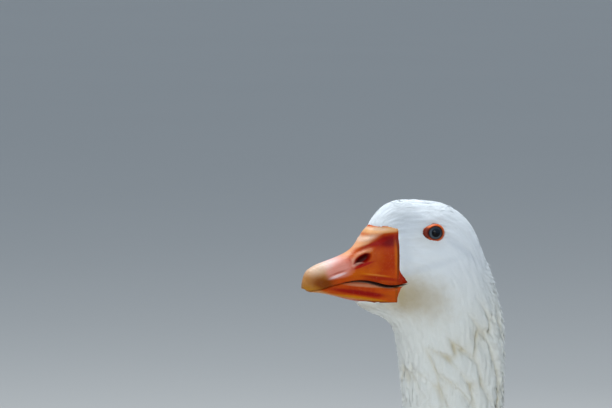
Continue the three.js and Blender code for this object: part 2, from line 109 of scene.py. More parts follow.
# The bird's outline in its middle plane: back x, back z, front x, front z, half width.
bodyLines = {
    "billRoot": (-73, 860, -84, 798, 15.6),
    "forehead": (-66, 870.6, -77, 793.5, 17.4),
    "brow": (-54.5, 878.6, -70, 790, 19.6),
    "crown": (-34, 880, -62, 786.5, 23.6),
    "hindCrown": (-12, 876.8, -56, 782.5, 27),
    "occiput": (7.6, 866.6, -51.5, 777, 29.4),
    "jaw": (27, 832, -47, 762, 31.2),
    "throat": (40.6, 792, -44.6, 745, 32.2),
    "neckUpper": (43.8, 740, -40.8, 717, 32.6),
    "neckMiddle": (43.5, 675, -39.6, 667, 33),
    "neckLower": (51, 585, -47.5, 586, 38),
    "withers": (75, 509, -72, 505, 58),
    "crop": (117, 458, -105, 402, 94),
    "breast": (144, 444, -107, 348, 107),
    "shoulders": (205, 427, -65, 249, 119.5),
    "keel": (273, 415, 38, 180, 120),
    "belly": (341, 400, 170, 150, 110.5),
    "paunch": (401, 385, 294, 164, 86),
    "rump": (445, 375, 382, 234, 57),
    "vent": (461, 372, 414, 276, 46),
    "tailRoot": (476, 370, 440, 318, 38),
    "tailCover": (510, 376, 490, 340, 32),
    "wingTip": (552, 390, 542, 362, 26),
}
lineRows = np.array(list(bodyLines.values()), float)
backSteps = np.hypot(*np.diff(lineRows[:, 0:2], axis=0).T)
frontSteps = np.hypot(*np.diff(lineRows[:, 2:4], axis=0).T)
alongKnots = np.concatenate([[0], np.cumsum((backSteps + frontSteps) / 2)])
place = dict(zip(bodyLines, alongKnots))
alongFine = np.arange(0, alongKnots[-1] + 1, 0.5)
lineFine = np.array([splineThrough(alongKnots, lineRows[:, k])(alongFine) for k in range(5)])


def bareBody(s, turn, out=0.0):
    # s runs along the bird, turn goes round it from the back line, the left side first
    backX, backZ, frontX, frontZ, halfWidth = (np.interp(s, alongFine, row) for row in lineFine)
    upX, upZ = (backX - frontX) / 2, (backZ - frontZ) / 2
    height = np.hypot(upX, upZ)
    reach = (height + out) / height * np.cos(turn)
    return np.stack([
        (backX + frontX) / 2 + upX * reach,
        -(halfWidth + out) * np.sin(turn),
        (backZ + frontZ) / 2 + upZ * reach,
    ], axis=-1)


def surfaceScale(s, turn, onto=bareBody, dt=0.01):
    # millimetres of real surface for each millimetre of s and each radian of turn
    perS = np.linalg.norm(onto(s + 1, turn) - onto(s - 1, turn), axis=-1) / 2
    perTurn = np.linalg.norm(onto(s, turn + dt) - onto(s, turn - dt), axis=-1) / (2 * dt)
    return perS, perTurn


# Soft forms of the head, in side view: x, z, reach along, reach across, tilt, height.
headForms = {
    "brow": (-30, 867, 20, 8, 8, 0.45),
    "lore": (-45, 864, 15, 7, -4, -1.9),
    "aroundEye": (-28, 853, 14, 10, 0, -1.2),
    "lores": (-50, 846, 12, 16, -30, -0.9),
    "behindEye": (-4, 842, 20, 6.0, -34, -0.7),
    "cheek": (-22, 822, 24, 15, 12, 1.5),
    "hindCheek": (6, 806, 16, 18, 0, 0.9),
    "underCheek": (-30, 800, 20, 5, -14, -0.7),
    "chin": (-62, 796, 16, 4, 4, 0.8),
}
# The neck feathers stand together in long pointed locks, and their own tips lie on those like tiles.
furrows = {"rows": 9, "first": 120, "pitch": 38, "around": 15, "above": 48, "below": 27, "wide": 9.6,
           "lean": -0.0105, "deep": 1.8, "crease": 1.45, "sharp": 0.34, "from": 104, "full": 128,
           "end": 400, "seed": 12}
tips = {"rows": 26, "first": 100, "pitch": 12, "around": 30, "above": 17, "below": 6, "wide": 5.2,
        "lean": -0.006, "deep": 0.6, "nape": 1.3, "from": 84, "full": 150, "end": 400, "seed": 31}
wisps = {"long": 6.5, "wide": 1.5, "height": 0.13, "most": 2.2, "radius": 28, "seed": 8}
furrowPatches = ripples(furrows["seed"] + 1, 60, 4)
plush = {"field": ripples(9, 26, 26, 22), "height": 0.07}
gridSize = {"long": 440, "around": 600}
lockS = np.arange(0, gridSize["long"], 1.0)
lockTurn = np.linspace(-math.pi, math.pi, gridSize["around"] + 1)
gridS, gridTurn = np.meshgrid(lockS, lockTurn, indexing="ij")
gridRadius = surfaceScale(gridS, gridTurn)[1]


# How unlike each other the locks are, and how they narrow from their root to their point.
lockSpread = {"row": 0.4, "column": 0.25, "lean": (0.5, 1.4), "size": (0.8, 1.25), "top": (0.85, 1.15),
              "pointed": 0.55, "narrowest": 0.4, "broadest": 1.15}


def layLocks(look):
    # overlapping leaf shapes over the neck: how high the highest and the next one are at each place
    rng = np.random.default_rng(look["seed"])
    size = (look["rows"], look["around"])
    rowNumber = np.arange(size[0])[:, None]
    rowShift, columnShift = lockSpread["row"], lockSpread["column"]
    atS = look["first"] + look["pitch"] * (rowNumber + rng.uniform(-rowShift, rowShift, size))
    atTurn = np.arange(size[1]) + 0.5 * (rowNumber % 2) + rng.uniform(-columnShift, columnShift, size)
    atTurn = 2 * math.pi * atTurn / look["around"]
    lean = look["lean"] * np.sin(atTurn) * rng.uniform(*lockSpread["lean"], size)
    reach, broad = rng.uniform(*lockSpread["size"], size), rng.uniform(*lockSpread["size"], size)
    top = rng.uniform(*lockSpread["top"], size)
    row = np.rint((gridS - look["first"]) / look["pitch"]).astype(int)
    column = np.rint((gridTurn / (2 * math.pi)) * look["around"]).astype(int)
    highest, second = np.full(gridS.shape, -1.0), np.full(gridS.shape, -2.0)
    for stepRow in (-1, 0, 1, 2):
        for stepColumn in (-2, -1, 0, 1, 2):
            r = np.clip(row + stepRow, 0, size[0] - 1)
            c = (column + stepColumn) % size[1]
            along = gridS - atS[r, c]
            half = np.where(along < 0, look["above"], look["below"]) * reach[r, c]
            taper = 1 - lockSpread["pointed"] * along / (look["below"] * reach[r, c])
            wide = look["wide"] * broad[r, c]
            wide = wide * np.clip(taper, lockSpread["narrowest"], lockSpread["broadest"])
            away = (gridTurn - atTurn[r, c] - lean[r, c] * along + math.pi) % (2 * math.pi) - math.pi
            rise = top[r, c] * (1 - (along / half) ** 2 - (away * gridRadius / wide) ** 2)
            second = np.maximum(second, np.where(rise < highest - 1e-9, rise, np.minimum(second, highest)))
            second = np.where(rise > highest, highest, second)
            highest = np.maximum(highest, rise)
    return highest, second


def grownIn(look, late=0.0):
    grown = smoothStep(look["from"], look["full"], gridS - late)
    return grown * (1 - smoothStep(look["end"] - 90, look["end"], gridS))


def makeLocks():
    # how deep a place lies between the locks, and where the creases are
    highest, second = layLocks(furrows)
    depth = np.clip(1 - highest, 0, 1.2)
    crease = np.exp(-((highest - second) / furrows["sharp"]) ** 2) * smoothStep(0.15, 0.6, depth)
    grown = grownIn(furrows, 8 * furrowPatches(gridS * 0, gridTurn))
    grown = grown * np.clip(1.0 + 0.3 * furrowPatches(gridS + 90, gridTurn), 0.65, 1.25)
    grown = grown * lerp(1.0, 0.65, smoothStep(1.9, 2.6, np.abs(gridTurn)))
    return depth * grown, crease * grown


def makeTips():
    highest, _ = layLocks(tips)
    nape = smoothStep(0.1, 1.0, np.cos(gridTurn))
    return np.clip(1 - highest, 0, 1.2) * grownIn(tips) * (tips["deep"] + tips["nape"] * nape)


def makeWisps():
    # fine streaks in the plush of the head, drawn out along the feathers
    rng = np.random.default_rng(wisps["seed"])
    around = gridSize["around"]
    wave = np.fft.fft2(rng.normal(0, 1, (len(lockS), around)))
    alongTurns = np.abs(np.fft.fftfreq(len(lockS), 1.0))[:, None]
    aroundTurns = np.abs(np.fft.fftfreq(around, 2 * math.pi * wisps["radius"] / around))[None]
    keep = np.exp(-(alongTurns * wisps["long"] * 2) ** 2 - (aroundTurns * wisps["wide"] * 2) ** 2)
    field = np.real(np.fft.ifft2(wave * keep))
    field = np.concatenate([field, field[:, :1]], axis=1) / field.std()
    return np.clip(field, -wisps["most"], wisps["most"])


lockDepth, lockCrease = makeLocks()
tipDepth = makeTips()
wispHeight = makeWisps()


def gridValue(grid, s, turn):
    turn = (np.asarray(turn) + math.pi) % (2 * math.pi)
    s, turn = np.broadcast_arrays(np.asarray(s, float), turn)
    row = np.clip((s - lockS[0]) / (lockS[1] - lockS[0]), 0, len(lockS) - 1.001)
    column = np.clip(turn / (lockTurn[1] - lockTurn[0]), 0, len(lockTurn) - 1.001)
    i, j = row.astype(int), column.astype(int)
    a, b = row - i, column - j
    return lerp(lerp(grid[i, j], grid[i, j + 1], b), lerp(grid[i + 1, j], grid[i + 1, j + 1], b), a)


# How strong the painted warm shade in the furrows is, and over what length of the neck it grows faint.
furrowShadeTint = {"depth": 0.34, "crease": 0.72, "tips": 0.12, "even": 0.8, "uneven": 0.4,
              "fade": (165, 310), "lowest": 0.35}


# the strength of the painted warm shade in the neck's furrows and creases
def furrowShade(s, turn):
    tint = furrowShadeTint["depth"] * gridValue(lockDepth, s, turn)
    tint = tint + furrowShadeTint["crease"] * gridValue(lockCrease, s, turn)
    tint = tint + furrowShadeTint["tips"] * gridValue(tipDepth, s, turn)
    uneven = np.clip(furrowShadeTint["even"] + furrowShadeTint["uneven"] * furrowPatches(s, turn), 0.4, 1.1)
    return np.clip(tint * uneven * lerp(1.0, furrowShadeTint["lowest"], smoothStep(*furrowShadeTint["fade"], s)), 0, 1)


def carve(forms, x, z):
    # the height of soft oval forms at a point in side view
    total = np.zeros(np.broadcast(x, z).shape)
    for formX, formZ, long, short, tilt, height, *steep in forms.values():
        c, d = math.cos(tilt * degree), math.sin(tilt * degree)
        a = ((x - formX) * c + (z - formZ) * d) / long
        b = ((z - formZ) * c - (x - formX) * d) / short
        total += height * np.exp(-(a * a + b * b) ** (steep[0] if steep else 1))
    return total


# Where along the bird the coat's own relief grows and fades out again.
reliefSpan = {"plush": (6, 30, 160, 320), "level": (112, 150, 320, 400), "wisps": (2, 24, 300, 420),
              "levelHeight": 0.9, "coarser": (80, 150)}


def spanned(name, s):
    start, full, fading, end = reliefSpan[name]
    return smoothStep(start, full, s) * (1 - smoothStep(fading, end, s))


def relief(s, turn):
    base = bareBody(s, turn)
    side = np.clip(np.abs(np.sin(turn)) * 1.6, 0, 1) ** 1.5
    total = np.where(s < place["throat"], carve(headForms, base[..., 0], base[..., 2]), 0) * side
    total += plush["height"] * plush["field"](s, turn) * spanned("plush", s)
    total -= furrows["deep"] * gridValue(lockDepth, s, turn)
    total -= furrows["crease"] * gridValue(lockCrease, s, turn) + gridValue(tipDepth, s, turn)
    fine = wisps["height"] * spanned("wisps", s) * lerp(1.5, 2.0, smoothStep(*reliefSpan["coarser"], s))
    return total + reliefSpan["levelHeight"] * spanned("level", s) + fine * gridValue(wispHeight, s, turn)


def overBody(s, turn, out=0.0):
    # a place at a true distance from the bare outline, straight out from its surface
    ahead = bareBody(s + 1, turn) - bareBody(s - 1, turn)
    around = bareBody(s, turn + 0.01) - bareBody(s, turn - 0.01)
    return bareBody(s, turn) + unit(np.cross(around, ahead)) * (out + 0 * s)[..., None]


def body(s, turn, out=0.0):
    return overBody(s, turn, out + relief(s, turn))


def toFrame(points):
    moved = np.array(points, float)
    moved[..., 0] += shiftX
    return moved * mm


def addObject(name, data):
    made = bpy.data.objects.new(name, data)
    bpy.context.scene.collection.objects.link(made)
    return made


def addPiece(name, points, faces, material, nodes=()):
    # a mesh from millimetre points and faces that are one array of triangles or quads
    points = toFrame(points).reshape(-1, 3)
    faces = np.asarray(faces, np.int32)
    mesh = bpy.data.meshes.new(name)
    mesh.vertices.add(len(points))
    mesh.vertices.foreach_set("co", points.ravel())
    mesh.loops.add(faces.size)
    mesh.loops.foreach_set("vertex_index", faces.ravel())
    mesh.polygons.add(len(faces))
    mesh.polygons.foreach_set("loop_start", np.arange(0, faces.size, faces.shape[1], dtype=np.int32))
    mesh.update(calc_edges=True)
    mesh.polygons.foreach_set("use_smooth", np.ones(len(faces), bool))
    mesh.materials.append(material)
    piece = addObject(name, mesh)
    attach(piece, "root")
    if nodes:
        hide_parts(*nodes)
    return piece


def setPointValues(piece, name, values):
    layer = piece.data.attributes.new(name, "FLOAT", "POINT")
    layer.data.foreach_set("value", values.astype(np.float32))


def setCornerMap(piece, name, corners):
    layer = piece.data.uv_layers.new(name=name)
    layer.data.foreach_set("uv", corners.astype(np.float32).ravel())


def gridFaces(rows, columns, wrap=False):
    # quads of a grid of points, with the last column joined to the first if it wraps
    i, j = np.meshgrid(np.arange(rows - 1), np.arange(columns if wrap else columns - 1), indexing="ij")
    k = (j + 1) % columns
    quads = np.stack([i * columns + j, i * columns + k, (i + 1) * columns + k, (i + 1) * columns + j], -1)
    return quads.reshape(-1, 4)


def facedOutward(points, triangles):
    a, b, c = (points[triangles[:, k]] - points.mean(0) for k in range(3))
    return triangles[:, ::-1] if (a * np.cross(b, c)).sum() < 0 else triangles


def tubeShell(grid, caps=None):
    # a tube of rings closed by a point at each end, as points and outward triangles
    rows, columns = grid.shape[:2]
    faces = gridFaces(rows, columns, wrap=True)
    count = rows * columns
    ring = np.arange(columns)
    following = np.roll(ring, -1)
    last = count - columns
    first = np.stack([following, ring, np.full(columns, count)], -1)
    final = np.stack([ring + last, following + last, np.full(columns, count + 1)], -1)
    triangles = np.concatenate([faces[:, [0, 1, 2]], faces[:, [0, 2, 3]], first, final])
    points = np.concatenate([grid.reshape(-1, 3), grid[[0, -1]].mean(1) if caps is None else caps])
    return points, facedOutward(points, triangles)


def closedTube(name, grid, material, nodes=()):
    points, triangles = tubeShell(grid)
    return addPiece(name, points, triangles, material, nodes)


def feed(socket, value):
    # links another node's socket to this one, or sets its own value or colour
    if isinstance(value, bpy.types.NodeSocket):
        socket.id_data.links.new(value, socket)
    else:
        socket.default_value = (*value, 1)[:4] if socket.type == "RGBA" else value


def treeOf(*values):
    # the node tree that the first socket among the values is in
    return next(value.id_data for value in values if isinstance(value, bpy.types.NodeSocket))


def addNode(tree, kind, inputs=None, **settings):
    node = tree.nodes.new(kind)
    for key, value in settings.items():
        setattr(node, key, value)
    for key, value in (inputs or {}).items():
        feed(node.inputs[key], value)
    return node


def calculate(operation, *values):
    inputs = dict(enumerate(values))
    return addNode(treeOf(*values), "ShaderNodeMath", inputs, operation=operation).outputs[0]


def times(a, b):
    return calculate("MULTIPLY", a, b)


def plus(a, b):
    return calculate("ADD", a, b)


def minus(a, b):
    return calculate("SUBTRACT", a, b)


def blendColor(factor, a, b, way="MIX"):
    inputs = {0: factor, 6: a, 7: b}
    return addNode(treeOf(factor, a, b), "ShaderNodeMix", inputs, data_type="RGBA", blend_type=way).outputs[2]


def tinted(color, tone, mask, amount):
    return blendColor(times(mask, amount), color, tone)


def remap(value, low, high, toLow=0.0, toHigh=1.0, way="SMOOTHSTEP"):
    inputs = {0: value, 1: low, 2: high, 3: toLow, 4: toHigh}
    return addNode(treeOf(value), "ShaderNodeMapRange", inputs, interpolation_type=way).outputs[0]


def noise(where, scale, detail=3.0, roughness=0.5):
    inputs = {"Vector": where, "Scale": scale, "Detail": detail, "Roughness": roughness}
    return addNode(treeOf(where), "ShaderNodeTexNoise", inputs).outputs["Fac"]


def cells(where, scale, kind="F1", randomness=1.0):
    inputs = {"Vector": where, "Scale": scale, "Randomness": randomness}
    return addNode(treeOf(where), "ShaderNodeTexVoronoi", inputs, feature=kind).outputs["Distance"]


def separate(vector):
    return addNode(treeOf(vector), "ShaderNodeSeparateXYZ", {0: vector}).outputs


def objectPlace(tree):
    return addNode(tree, "ShaderNodeTexCoord").outputs["Object"]


def pointValue(tree, name):
    return addNode(tree, "ShaderNodeAttribute", attribute_name=name).outputs["Fac"]


def cornerMap(tree, name):
    return addNode(tree, "ShaderNodeUVMap", uv_map=name).outputs[0]


def newGroup(name, inputs, outputs):
    # inputs and outputs are dictionaries of socket name to default value or kind
    group = bpy.data.node_groups.new(name, "ShaderNodeTree")
    for socketName, value in inputs.items():
        kind = "NodeSocketColor" if hasattr(value, "__len__") else "NodeSocketFloat"
        socket = group.interface.new_socket(socketName, in_out="INPUT", socket_type=kind)
        socket.default_value = (*value, 1) if hasattr(value, "__len__") else value
    for socketName, kind in outputs.items():
        group.interface.new_socket(socketName, in_out="OUTPUT", socket_type="NodeSocket" + kind)
    return group, addNode(group, "NodeGroupInput").outputs, addNode(group, "NodeGroupOutput").inputs


def useGroup(tree, group, inputs=None):
    return addNode(tree, "ShaderNodeGroup", inputs, node_tree=group).outputs


def newMaterial(name, constants):
    # constants go straight on the shader's own sockets
    material = bpy.data.materials.new(name)
    material.use_nodes = True
    tree = material.node_tree
    shader = tree.nodes["Principled BSDF"]
    for key, value in constants.items():
        feed(shader.inputs[key], value)
    return material, tree, shader


def setBump(shader, height, strength, distance):
    inputs = {"Height": height, "Strength": strength, "Distance": distance}
    feed(shader.inputs["Normal"], addNode(treeOf(height), "ShaderNodeBump", inputs).outputs[0])


def makePatchGroup():
    # a soft oval in side view, the same on both sides of the bird
    inputs = {"Centre X": 0.0, "Centre Z": 0.0, "Long": 0.01, "Short": 0.01, "Tilt": 0.0,
              "Softness": 0.5, "Ragged": 0.1, "Grain": 200.0}
    group, given, result = newGroup("softPatch", inputs, {"Mask": "Float"})
    where = objectPlace(group)
    x, _, z = separate(where)
    dx, dz = minus(x, given["Centre X"]), minus(z, given["Centre Z"])
    turn = calculate("RADIANS", given["Tilt"])
    cosine, sine = calculate("COSINE", turn), calculate("SINE", turn)
    a = calculate("DIVIDE", plus(times(dx, cosine), times(dz, sine)), given["Long"])
    b = calculate("DIVIDE", minus(times(dz, cosine), times(dx, sine)), given["Short"])
    far = calculate("SQRT", plus(times(a, a), times(b, b)))
    grain = noise(where, given["Grain"], 4.0, 0.6)
    far = plus(far, times(minus(grain, 0.5), given["Ragged"]))
    low, high = minus(1.0, given["Softness"]), plus(1.0, given["Softness"])
    feed(result["Mask"], remap(far, low, high, 1.0, 0.0))
    return group


softPatch = makePatchGroup()


def patch(tree, x, z, long, short, tilt, softness, ragged=0.35, grain=300):
    # x, z and the two reaches are in millimetres of the measures above
    values = {"Centre X": (x + shiftX) * mm, "Centre Z": z * mm, "Long": long * mm, "Short": short * mm,
              "Tilt": tilt, "Softness": softness, "Ragged": ragged, "Grain": grain}
    return useGroup(tree, softPatch, values)["Mask"]


def layPatches(color, layers, tone=None):
    # soft patches of colour over each other, each with its place, how strong it is and its colour
    for where, amount, *own in layers.values():
        color = tinted(color, own[0] if own else tone, patch(color.id_data, *where), amount)
    return color


# The bird's markings, with the painted shade of the neck and its furrows. Each patch: x, z, reach along,
# reach across, tilt, softness, ragged, grain, then how strong it is.
plumageTones = {"White": (0.86, 0.88, 0.89), "NeckShade": (0.81, 0.81, 0.76), "Trunk": (0.70, 0.70, 0.675),
                "Stain": (0.50, 0.40, 0.24), "WarmFurrowShade": (0.62, 0.54, 0.36)}
plumageStains = {
    "cheek": ((-42, 805, 23, 15, -25, 0.85, 0.8, 150), 0.68),
    "gape": ((-50, 805, 10, 12, 20, 0.8, 1.0, 240), 0.62),
    "billEdge": ((-53.5, 808, 3.0, 10, 12, 0.7, 1.2, 400), 0.9),
    "chin": ((-70, 797, 22, 3, 2, 0.9, 0.6, 260), 0.35),
    "aroundEye": ((-29, 853, 12, 9.5, 10, 0.7, 0.6, 300), 0.16),
}
# Painted cool grey shade over the face: before and above the eye, beside the bill, behind and under the eye.
faceShadePatches = {
    "lore": ((-43, 862, 15, 8, -6, 0.9, 0.5, 200), 0.42),
    "besideBill": ((-52, 842, 6, 18, 0, 0.9, 0.7, 260), 0.30),
    "behindEye": ((-6, 844, 22, 3.2, -36, 0.9, 0.5, 200), 0.26),
    "underEye": ((-34, 828, 24, 2.4, 14, 0.9, 0.8, 200), 0.22),
}


def makePlumagePaint():
    # white, cream stain behind the gape, warmer in the furrows of the neck as painted warm shade; the neck
    # and the face get painted shade too
    group, given, result = newGroup("plumagePaint", plumageTones, {"Color": "Color"})
    where = objectPlace(group)
    clouds = remap(noise(where, 34.0), 0.3, 0.7, 0.0, 0.5)
    color = blendColor(clouds, given["White"], (0.84, 0.86, 0.875))
    height = separate(where)[2]
    # painted shade: the neck is painted darker and warmer than the head, for the head's shade and warm light
    # from below
    color = blendColor(remap(height, 0.845, 0.775), color, given["NeckShade"])
    color = blendColor(remap(height, 0.66, 0.50), color, given["Trunk"])
    # painted warm shade in the furrows and creases of the neck
    color = tinted(color, given["WarmFurrowShade"], pointValue(group, "hollowShade"), 0.9)
    color = layPatches(color, plumageStains, given["Stain"])
    # painted cool grey shade about the eye and beside the bill
    feed(result["Color"], layPatches(color, faceShadePatches, (0.52, 0.56, 0.61)))
    return group


plumagePaint = makePlumagePaint()


def makeBarbs():
    # fine slanting barbs each side of a feather's shaft; the map "vane" is along and across it
    inputs = {"Barbs": 60.0, "Slant": 0.5, "Shaft": 0.05}
    group, given, result = newGroup("featherBarbs", inputs, {"Height": "Float", "Shade": "Float"})
    vane = cornerMap(group, "vane")
    along, sideways, _ = separate(vane)
    across = calculate("ABSOLUTE", minus(sideways, 0.5))
    slanted = minus(along, times(across, given["Slant"]))
    slanted = calculate("MULTIPLY_ADD", noise(vane, 6.0, 2.0), 0.03, slanted)
    wave = calculate("SINE", times(slanted, times(given["Barbs"], fullTurn)))
    shaft = remap(across, 0.0, given["Shaft"], 1.0, 0.0)
    feed(result["Height"], calculate("MULTIPLY_ADD", wave, 0.22, shaft))
    shade = calculate("MULTIPLY_ADD", wave, 0.02, 0.98)
    feed(result["Shade"], minus(shade, times(shaft, 0.03)))
    return group


featherBarbs = makeBarbs()


def makeBareSkin():
    # pores and fine creases of bare skin and horn
    inputs = {"Pores": 900.0, "Creases": 240.0, "Stretch": 3.0}
    group, given, result = newGroup("bareSkin", inputs, {"Height": "Float", "Mottle": "Float"})
    where = objectPlace(group)
    scale = addNode(group, "ShaderNodeCombineXYZ", {0: 1.0, 1: 1.0, 2: given["Stretch"]}).outputs[0]
    drawn = addNode(group, "ShaderNodeVectorMath", {0: where, 1: scale}, operation="MULTIPLY").outputs[0]
    creases = noise(drawn, given["Creases"], 5.0, 0.62)
    feed(result["Height"], calculate("MULTIPLY_ADD", cells(where, given["Pores"]), 0.35, creases))
    feed(result["Mottle"], remap(noise(where, 130.0, 4.0, 0.6), 0.32, 0.68))
    return group


bareSkin = makeBareSkin()

featherLooks = {"Roughness": 0.78, "Specular IOR Level": 0.25, "Sheen Weight": 0.12,
                "Sheen Roughness": 0.6, "Subsurface Weight": 0.18, "Subsurface Scale": 0.003,
                "Subsurface Radius": (1.0, 0.9, 0.8)}


def plumageMaterial(name, shaded, barbs, slant, shaft, strength, distance):
    material, tree, shader = newMaterial(name, featherLooks)
    color = useGroup(tree, plumagePaint)["Color"]
    made = useGroup(tree, featherBarbs, {"Barbs": barbs, "Slant": slant, "Shaft": shaft})
    if shaded:
        color = blendColor(1.0, color, made["Shade"], "MULTIPLY")
    setBump(shader, made["Height"], strength, distance)
    feed(shader.inputs["Base Color"], color)
    return material


plushMaterial = plumageMaterial("plushFeathers", False, 0.9, 3.0, 0.03, 0.35, 0.0002)
vaneMaterial = plumageMaterial("vanedFeathers", True, 26.0, 0.5, 0.05, 0.3, 0.0004)
quillMaterial = plumageMaterial("quillFeathers", True, 110.0, 0.22, 0.06, 0.3, 0.0004)

# Side view of the line where the bill comes out of the feathers, from the forehead to the chin.
featherLine = np.array([
    (-74, 859.6), (-64, 860.6), (-55, 858.2), (-54.8, 850), (-55.3, 840), (-55.2, 825.5), (-51.9, 820.6),
    (-48.7, 817.2), (-49.6, 815.2), (-53.6, 812.4), (-55.4, 808), (-55.8, 800), (-74, 799.2), (-86, 800),
], float)


def aheadOfLine(x, z):
    # millimetres in front of the feather line, negative behind it
    outline = np.vstack([featherLine, [(-140, 780), (-140, 900), (-82, 868)]])
    px, pz = np.asarray(x, float)[..., None], np.asarray(z, float)[..., None]
    ax, az = outline[:, 0], outline[:, 1]
    bx, bz = np.roll(ax, -1), np.roll(az, -1)
    crosses = ((az > pz) != (bz > pz)) & (px < (bx - ax) * (pz - az) / (bz - az + 1e-9) + ax)
    inside = crosses.sum(-1) % 2 == 1
    edge = slice(0, len(featherLine) - 1)
    dx, dz = (bx - ax)[edge], (bz - az)[edge]
    t = np.clip(((px - ax[edge]) * dx + (pz - az[edge]) * dz) / (dx * dx + dz * dz), 0, 1)
    far = np.hypot(px - ax[edge] - t * dx, pz - az[edge] - t * dz).min(-1)
    return np.where(inside, far, -far)


def bodyAt(x, z):
    # s and turn of the left side's surface at a point in side view
    x, z = np.broadcast_arrays(np.asarray(x, float), np.asarray(z, float))
    low, high = np.zeros(x.shape), np.full(x.shape, float(place["throat"]))
    for _ in range(26):
        s = (low + high) / 2
        backX, backZ, frontX, frontZ = (np.interp(s, alongFine, row) for row in lineFine[:4])
        cross = (backX - frontX) * (z - frontZ) - (backZ - frontZ) * (x - frontX)
        high = np.where(cross > 0, s, high)
        low = np.where(cross > 0, low, s)
    share = np.hypot(x - frontX, z - frontZ) / np.hypot(backX - frontX, backZ - frontZ)
    return s, np.arccos(np.clip(2 * share - 1, -1, 1))


eye = {"x": -24.8, "below": 25.2, "radius": 7.6, "ahead": 12, "up": 4, "sunk": 5.7,
       "iris": 6.0, "pupil": 3.4, "bulge": 0.55, "open": 4.2, "rings": 36, "around": 64}
lid = {"opening": 5.5, "width": 1.6, "corner": 3.4, "proud": 0.8, "around": 96, "profile": 14}
eyeS, eyeTurn = bodyAt(eye["x"], crownZ - eye["below"])
eyeCentre = bareBody(eyeS, eyeTurn)
sight = unit(np.array([-math.sin(eye["ahead"] * degree), -math.cos(eye["ahead"] * degree),
                       math.sin(eye["up"] * degree)]))
eyeRight = unit(np.cross([0, 0, 1], sight))
eyeUp = np.cross(sight, eyeRight)


def fromEye(points, side):
    # x towards the back of the head, y up, z along the line of sight, to the bird's own measures
    points = np.asarray(points, float)
    placed = eyeCentre + points[..., :1] * eyeRight + points[..., 1:2] * eyeUp + points[..., 2:] * sight
    return placed * (1, -1, 1) if side == "right" else placed


def besideEye(points):
    # millimetres outside the edge of the lids, for points on either side of the head
    near = points * (1, 1, 1)
    near[..., 1] = -np.abs(near[..., 1])
    across = (near - eyeCentre) @ eyeRight
    up = (near - eyeCentre) @ eyeUp
    turn = np.arctan2(up, across)
    edge = lid["opening"] + lid["width"] + np.maximum(0, -np.cos(turn)) ** 5 * lid["corner"]
    return np.where(near[..., 0] < 20, np.hypot(across, up) - edge, 99.0)


# The folded wing, as a form on the body.
wing = {"from": 459, "tip": 1134, "thickness": 14, "edge": 5, "swell": 120, "taper": 380}
wingKnots = [wing["from"], 518, 604, 701, 803, 897, 1042, wing["tip"]]
wingTop = splineThrough(wingKnots, [52, 16, 8, 6.5, 7, 9, 19, 36])
wingBottom = splineThrough(wingKnots, [86, 114, 103, 93, 81, 69, 62, 56])


def wingTurn(s, share):
    return lerp(wingTop(s), wingBottom(s), share) * degree


def wingShare(s, turn):
    # how far down the wing a place is, 0 at its upper edge and 1 at its lower, on either side
    around = np.abs((np.asarray(turn) + math.pi) % (2 * math.pi) - math.pi) / degree
    s = np.clip(s, wing["from"], wing["tip"])
    return (around - wingTop(s)) / (wingBottom(s) - wingTop(s))


def wingRise(s, turn):
    share = wingShare(s, turn)
    ahead = np.clip((s - wing["from"]) / wing["swell"] + 0.15, 0, 1)
    behind = np.clip((wing["tip"] - s) / wing["taper"] + 0.12, 0, 1)
    crest = np.sqrt(np.clip(np.sin(math.pi * (0.1 + 0.82 * np.clip(share, 0, 1))), 0, 1))
    rise = wing["edge"] + (wing["thickness"] - wing["edge"]) * ahead * behind * crest
    edge = smoothStep(-0.10, 0.04, share) * (1 - smoothStep(0.93, 1.06, share))
    return rise * edge * smoothStep(wing["from"] - 12, wing["from"] + 22, s)

coatDepth = splineThrough([0, 30, 93, 125, 163, 307, 389, 518, 700, 900, 1042, 1137],
                          [0.9, 1.1, 1.5, 2.2, 3.0, 3.4, 4.5, 6.5, 7.5, 7.5, 5.0, 3.0])
skin = {"alongStep": 2.4, "headStep": 1.1, "around": 220, "tuck": 9.0, "end": 1022,
        "thighDepth": 3.5, "tuckEnd": 95, "underLids": 3}


def skinOut(s, turn):
    points = bareBody(s, turn)
    hidden = smoothStep(0.2, 3.5, aheadOfLine(points[..., 0], points[..., 2])) * (s < skin["tuckEnd"])
    aroundEye = 1 - smoothStep(-3.5, -0.5, besideEye(points))
    return wingRise(s, turn) - coatDepth(s) - hidden * skin["tuck"] - skin["underLids"] * aroundEye


def makeSkin():
    head = np.arange(0, place["throat"], skin["headStep"])
    rest = np.arange(place["throat"], skin["end"], skin["alongStep"])
    s = np.concatenate([head, rest, [skin["end"]]])
    turn = np.arange(skin["around"]) * 2 * math.pi / skin["around"]
    s, turn = np.meshgrid(s, turn, indexing="ij")
    points, triangles = tubeShell(body(s, turn, skinOut(s, turn)))
    # the faces of the body look inwards, those of the thighs outwards
    triangles = triangles[:, ::-1]
    # the painted shade of the neck's furrows, kept at each point
    values = np.concatenate([furrowShade(s, turn).ravel(), [0, 0]])
    for side in (1, -1):
        limb, limbFaces = thighSolid(skin["thighDepth"])
        triangles = np.concatenate([triangles, limbFaces[:, ::side] + len(points)])
        points = np.concatenate([points, limb * (1, side, 1)])
        values = np.concatenate([values, np.zeros(len(limb))])
    material, tree, shader = newMaterial("skinUnderDown", featherLooks)
    feed(shader.inputs["Base Color"], useGroup(tree, plumagePaint)["Color"])
    setBump(shader, noise(objectPlace(tree), 700.0, 4.0, 0.7), 0.6, 0.0006)
    flesh = ["head", "neck_upper", "neck_middle", "neck_lower", "trunk", "leg_left_thigh", "leg_right_thigh"]
    setPointValues(addPiece("skin", points, triangles, material, flesh), "hollowShade", values)


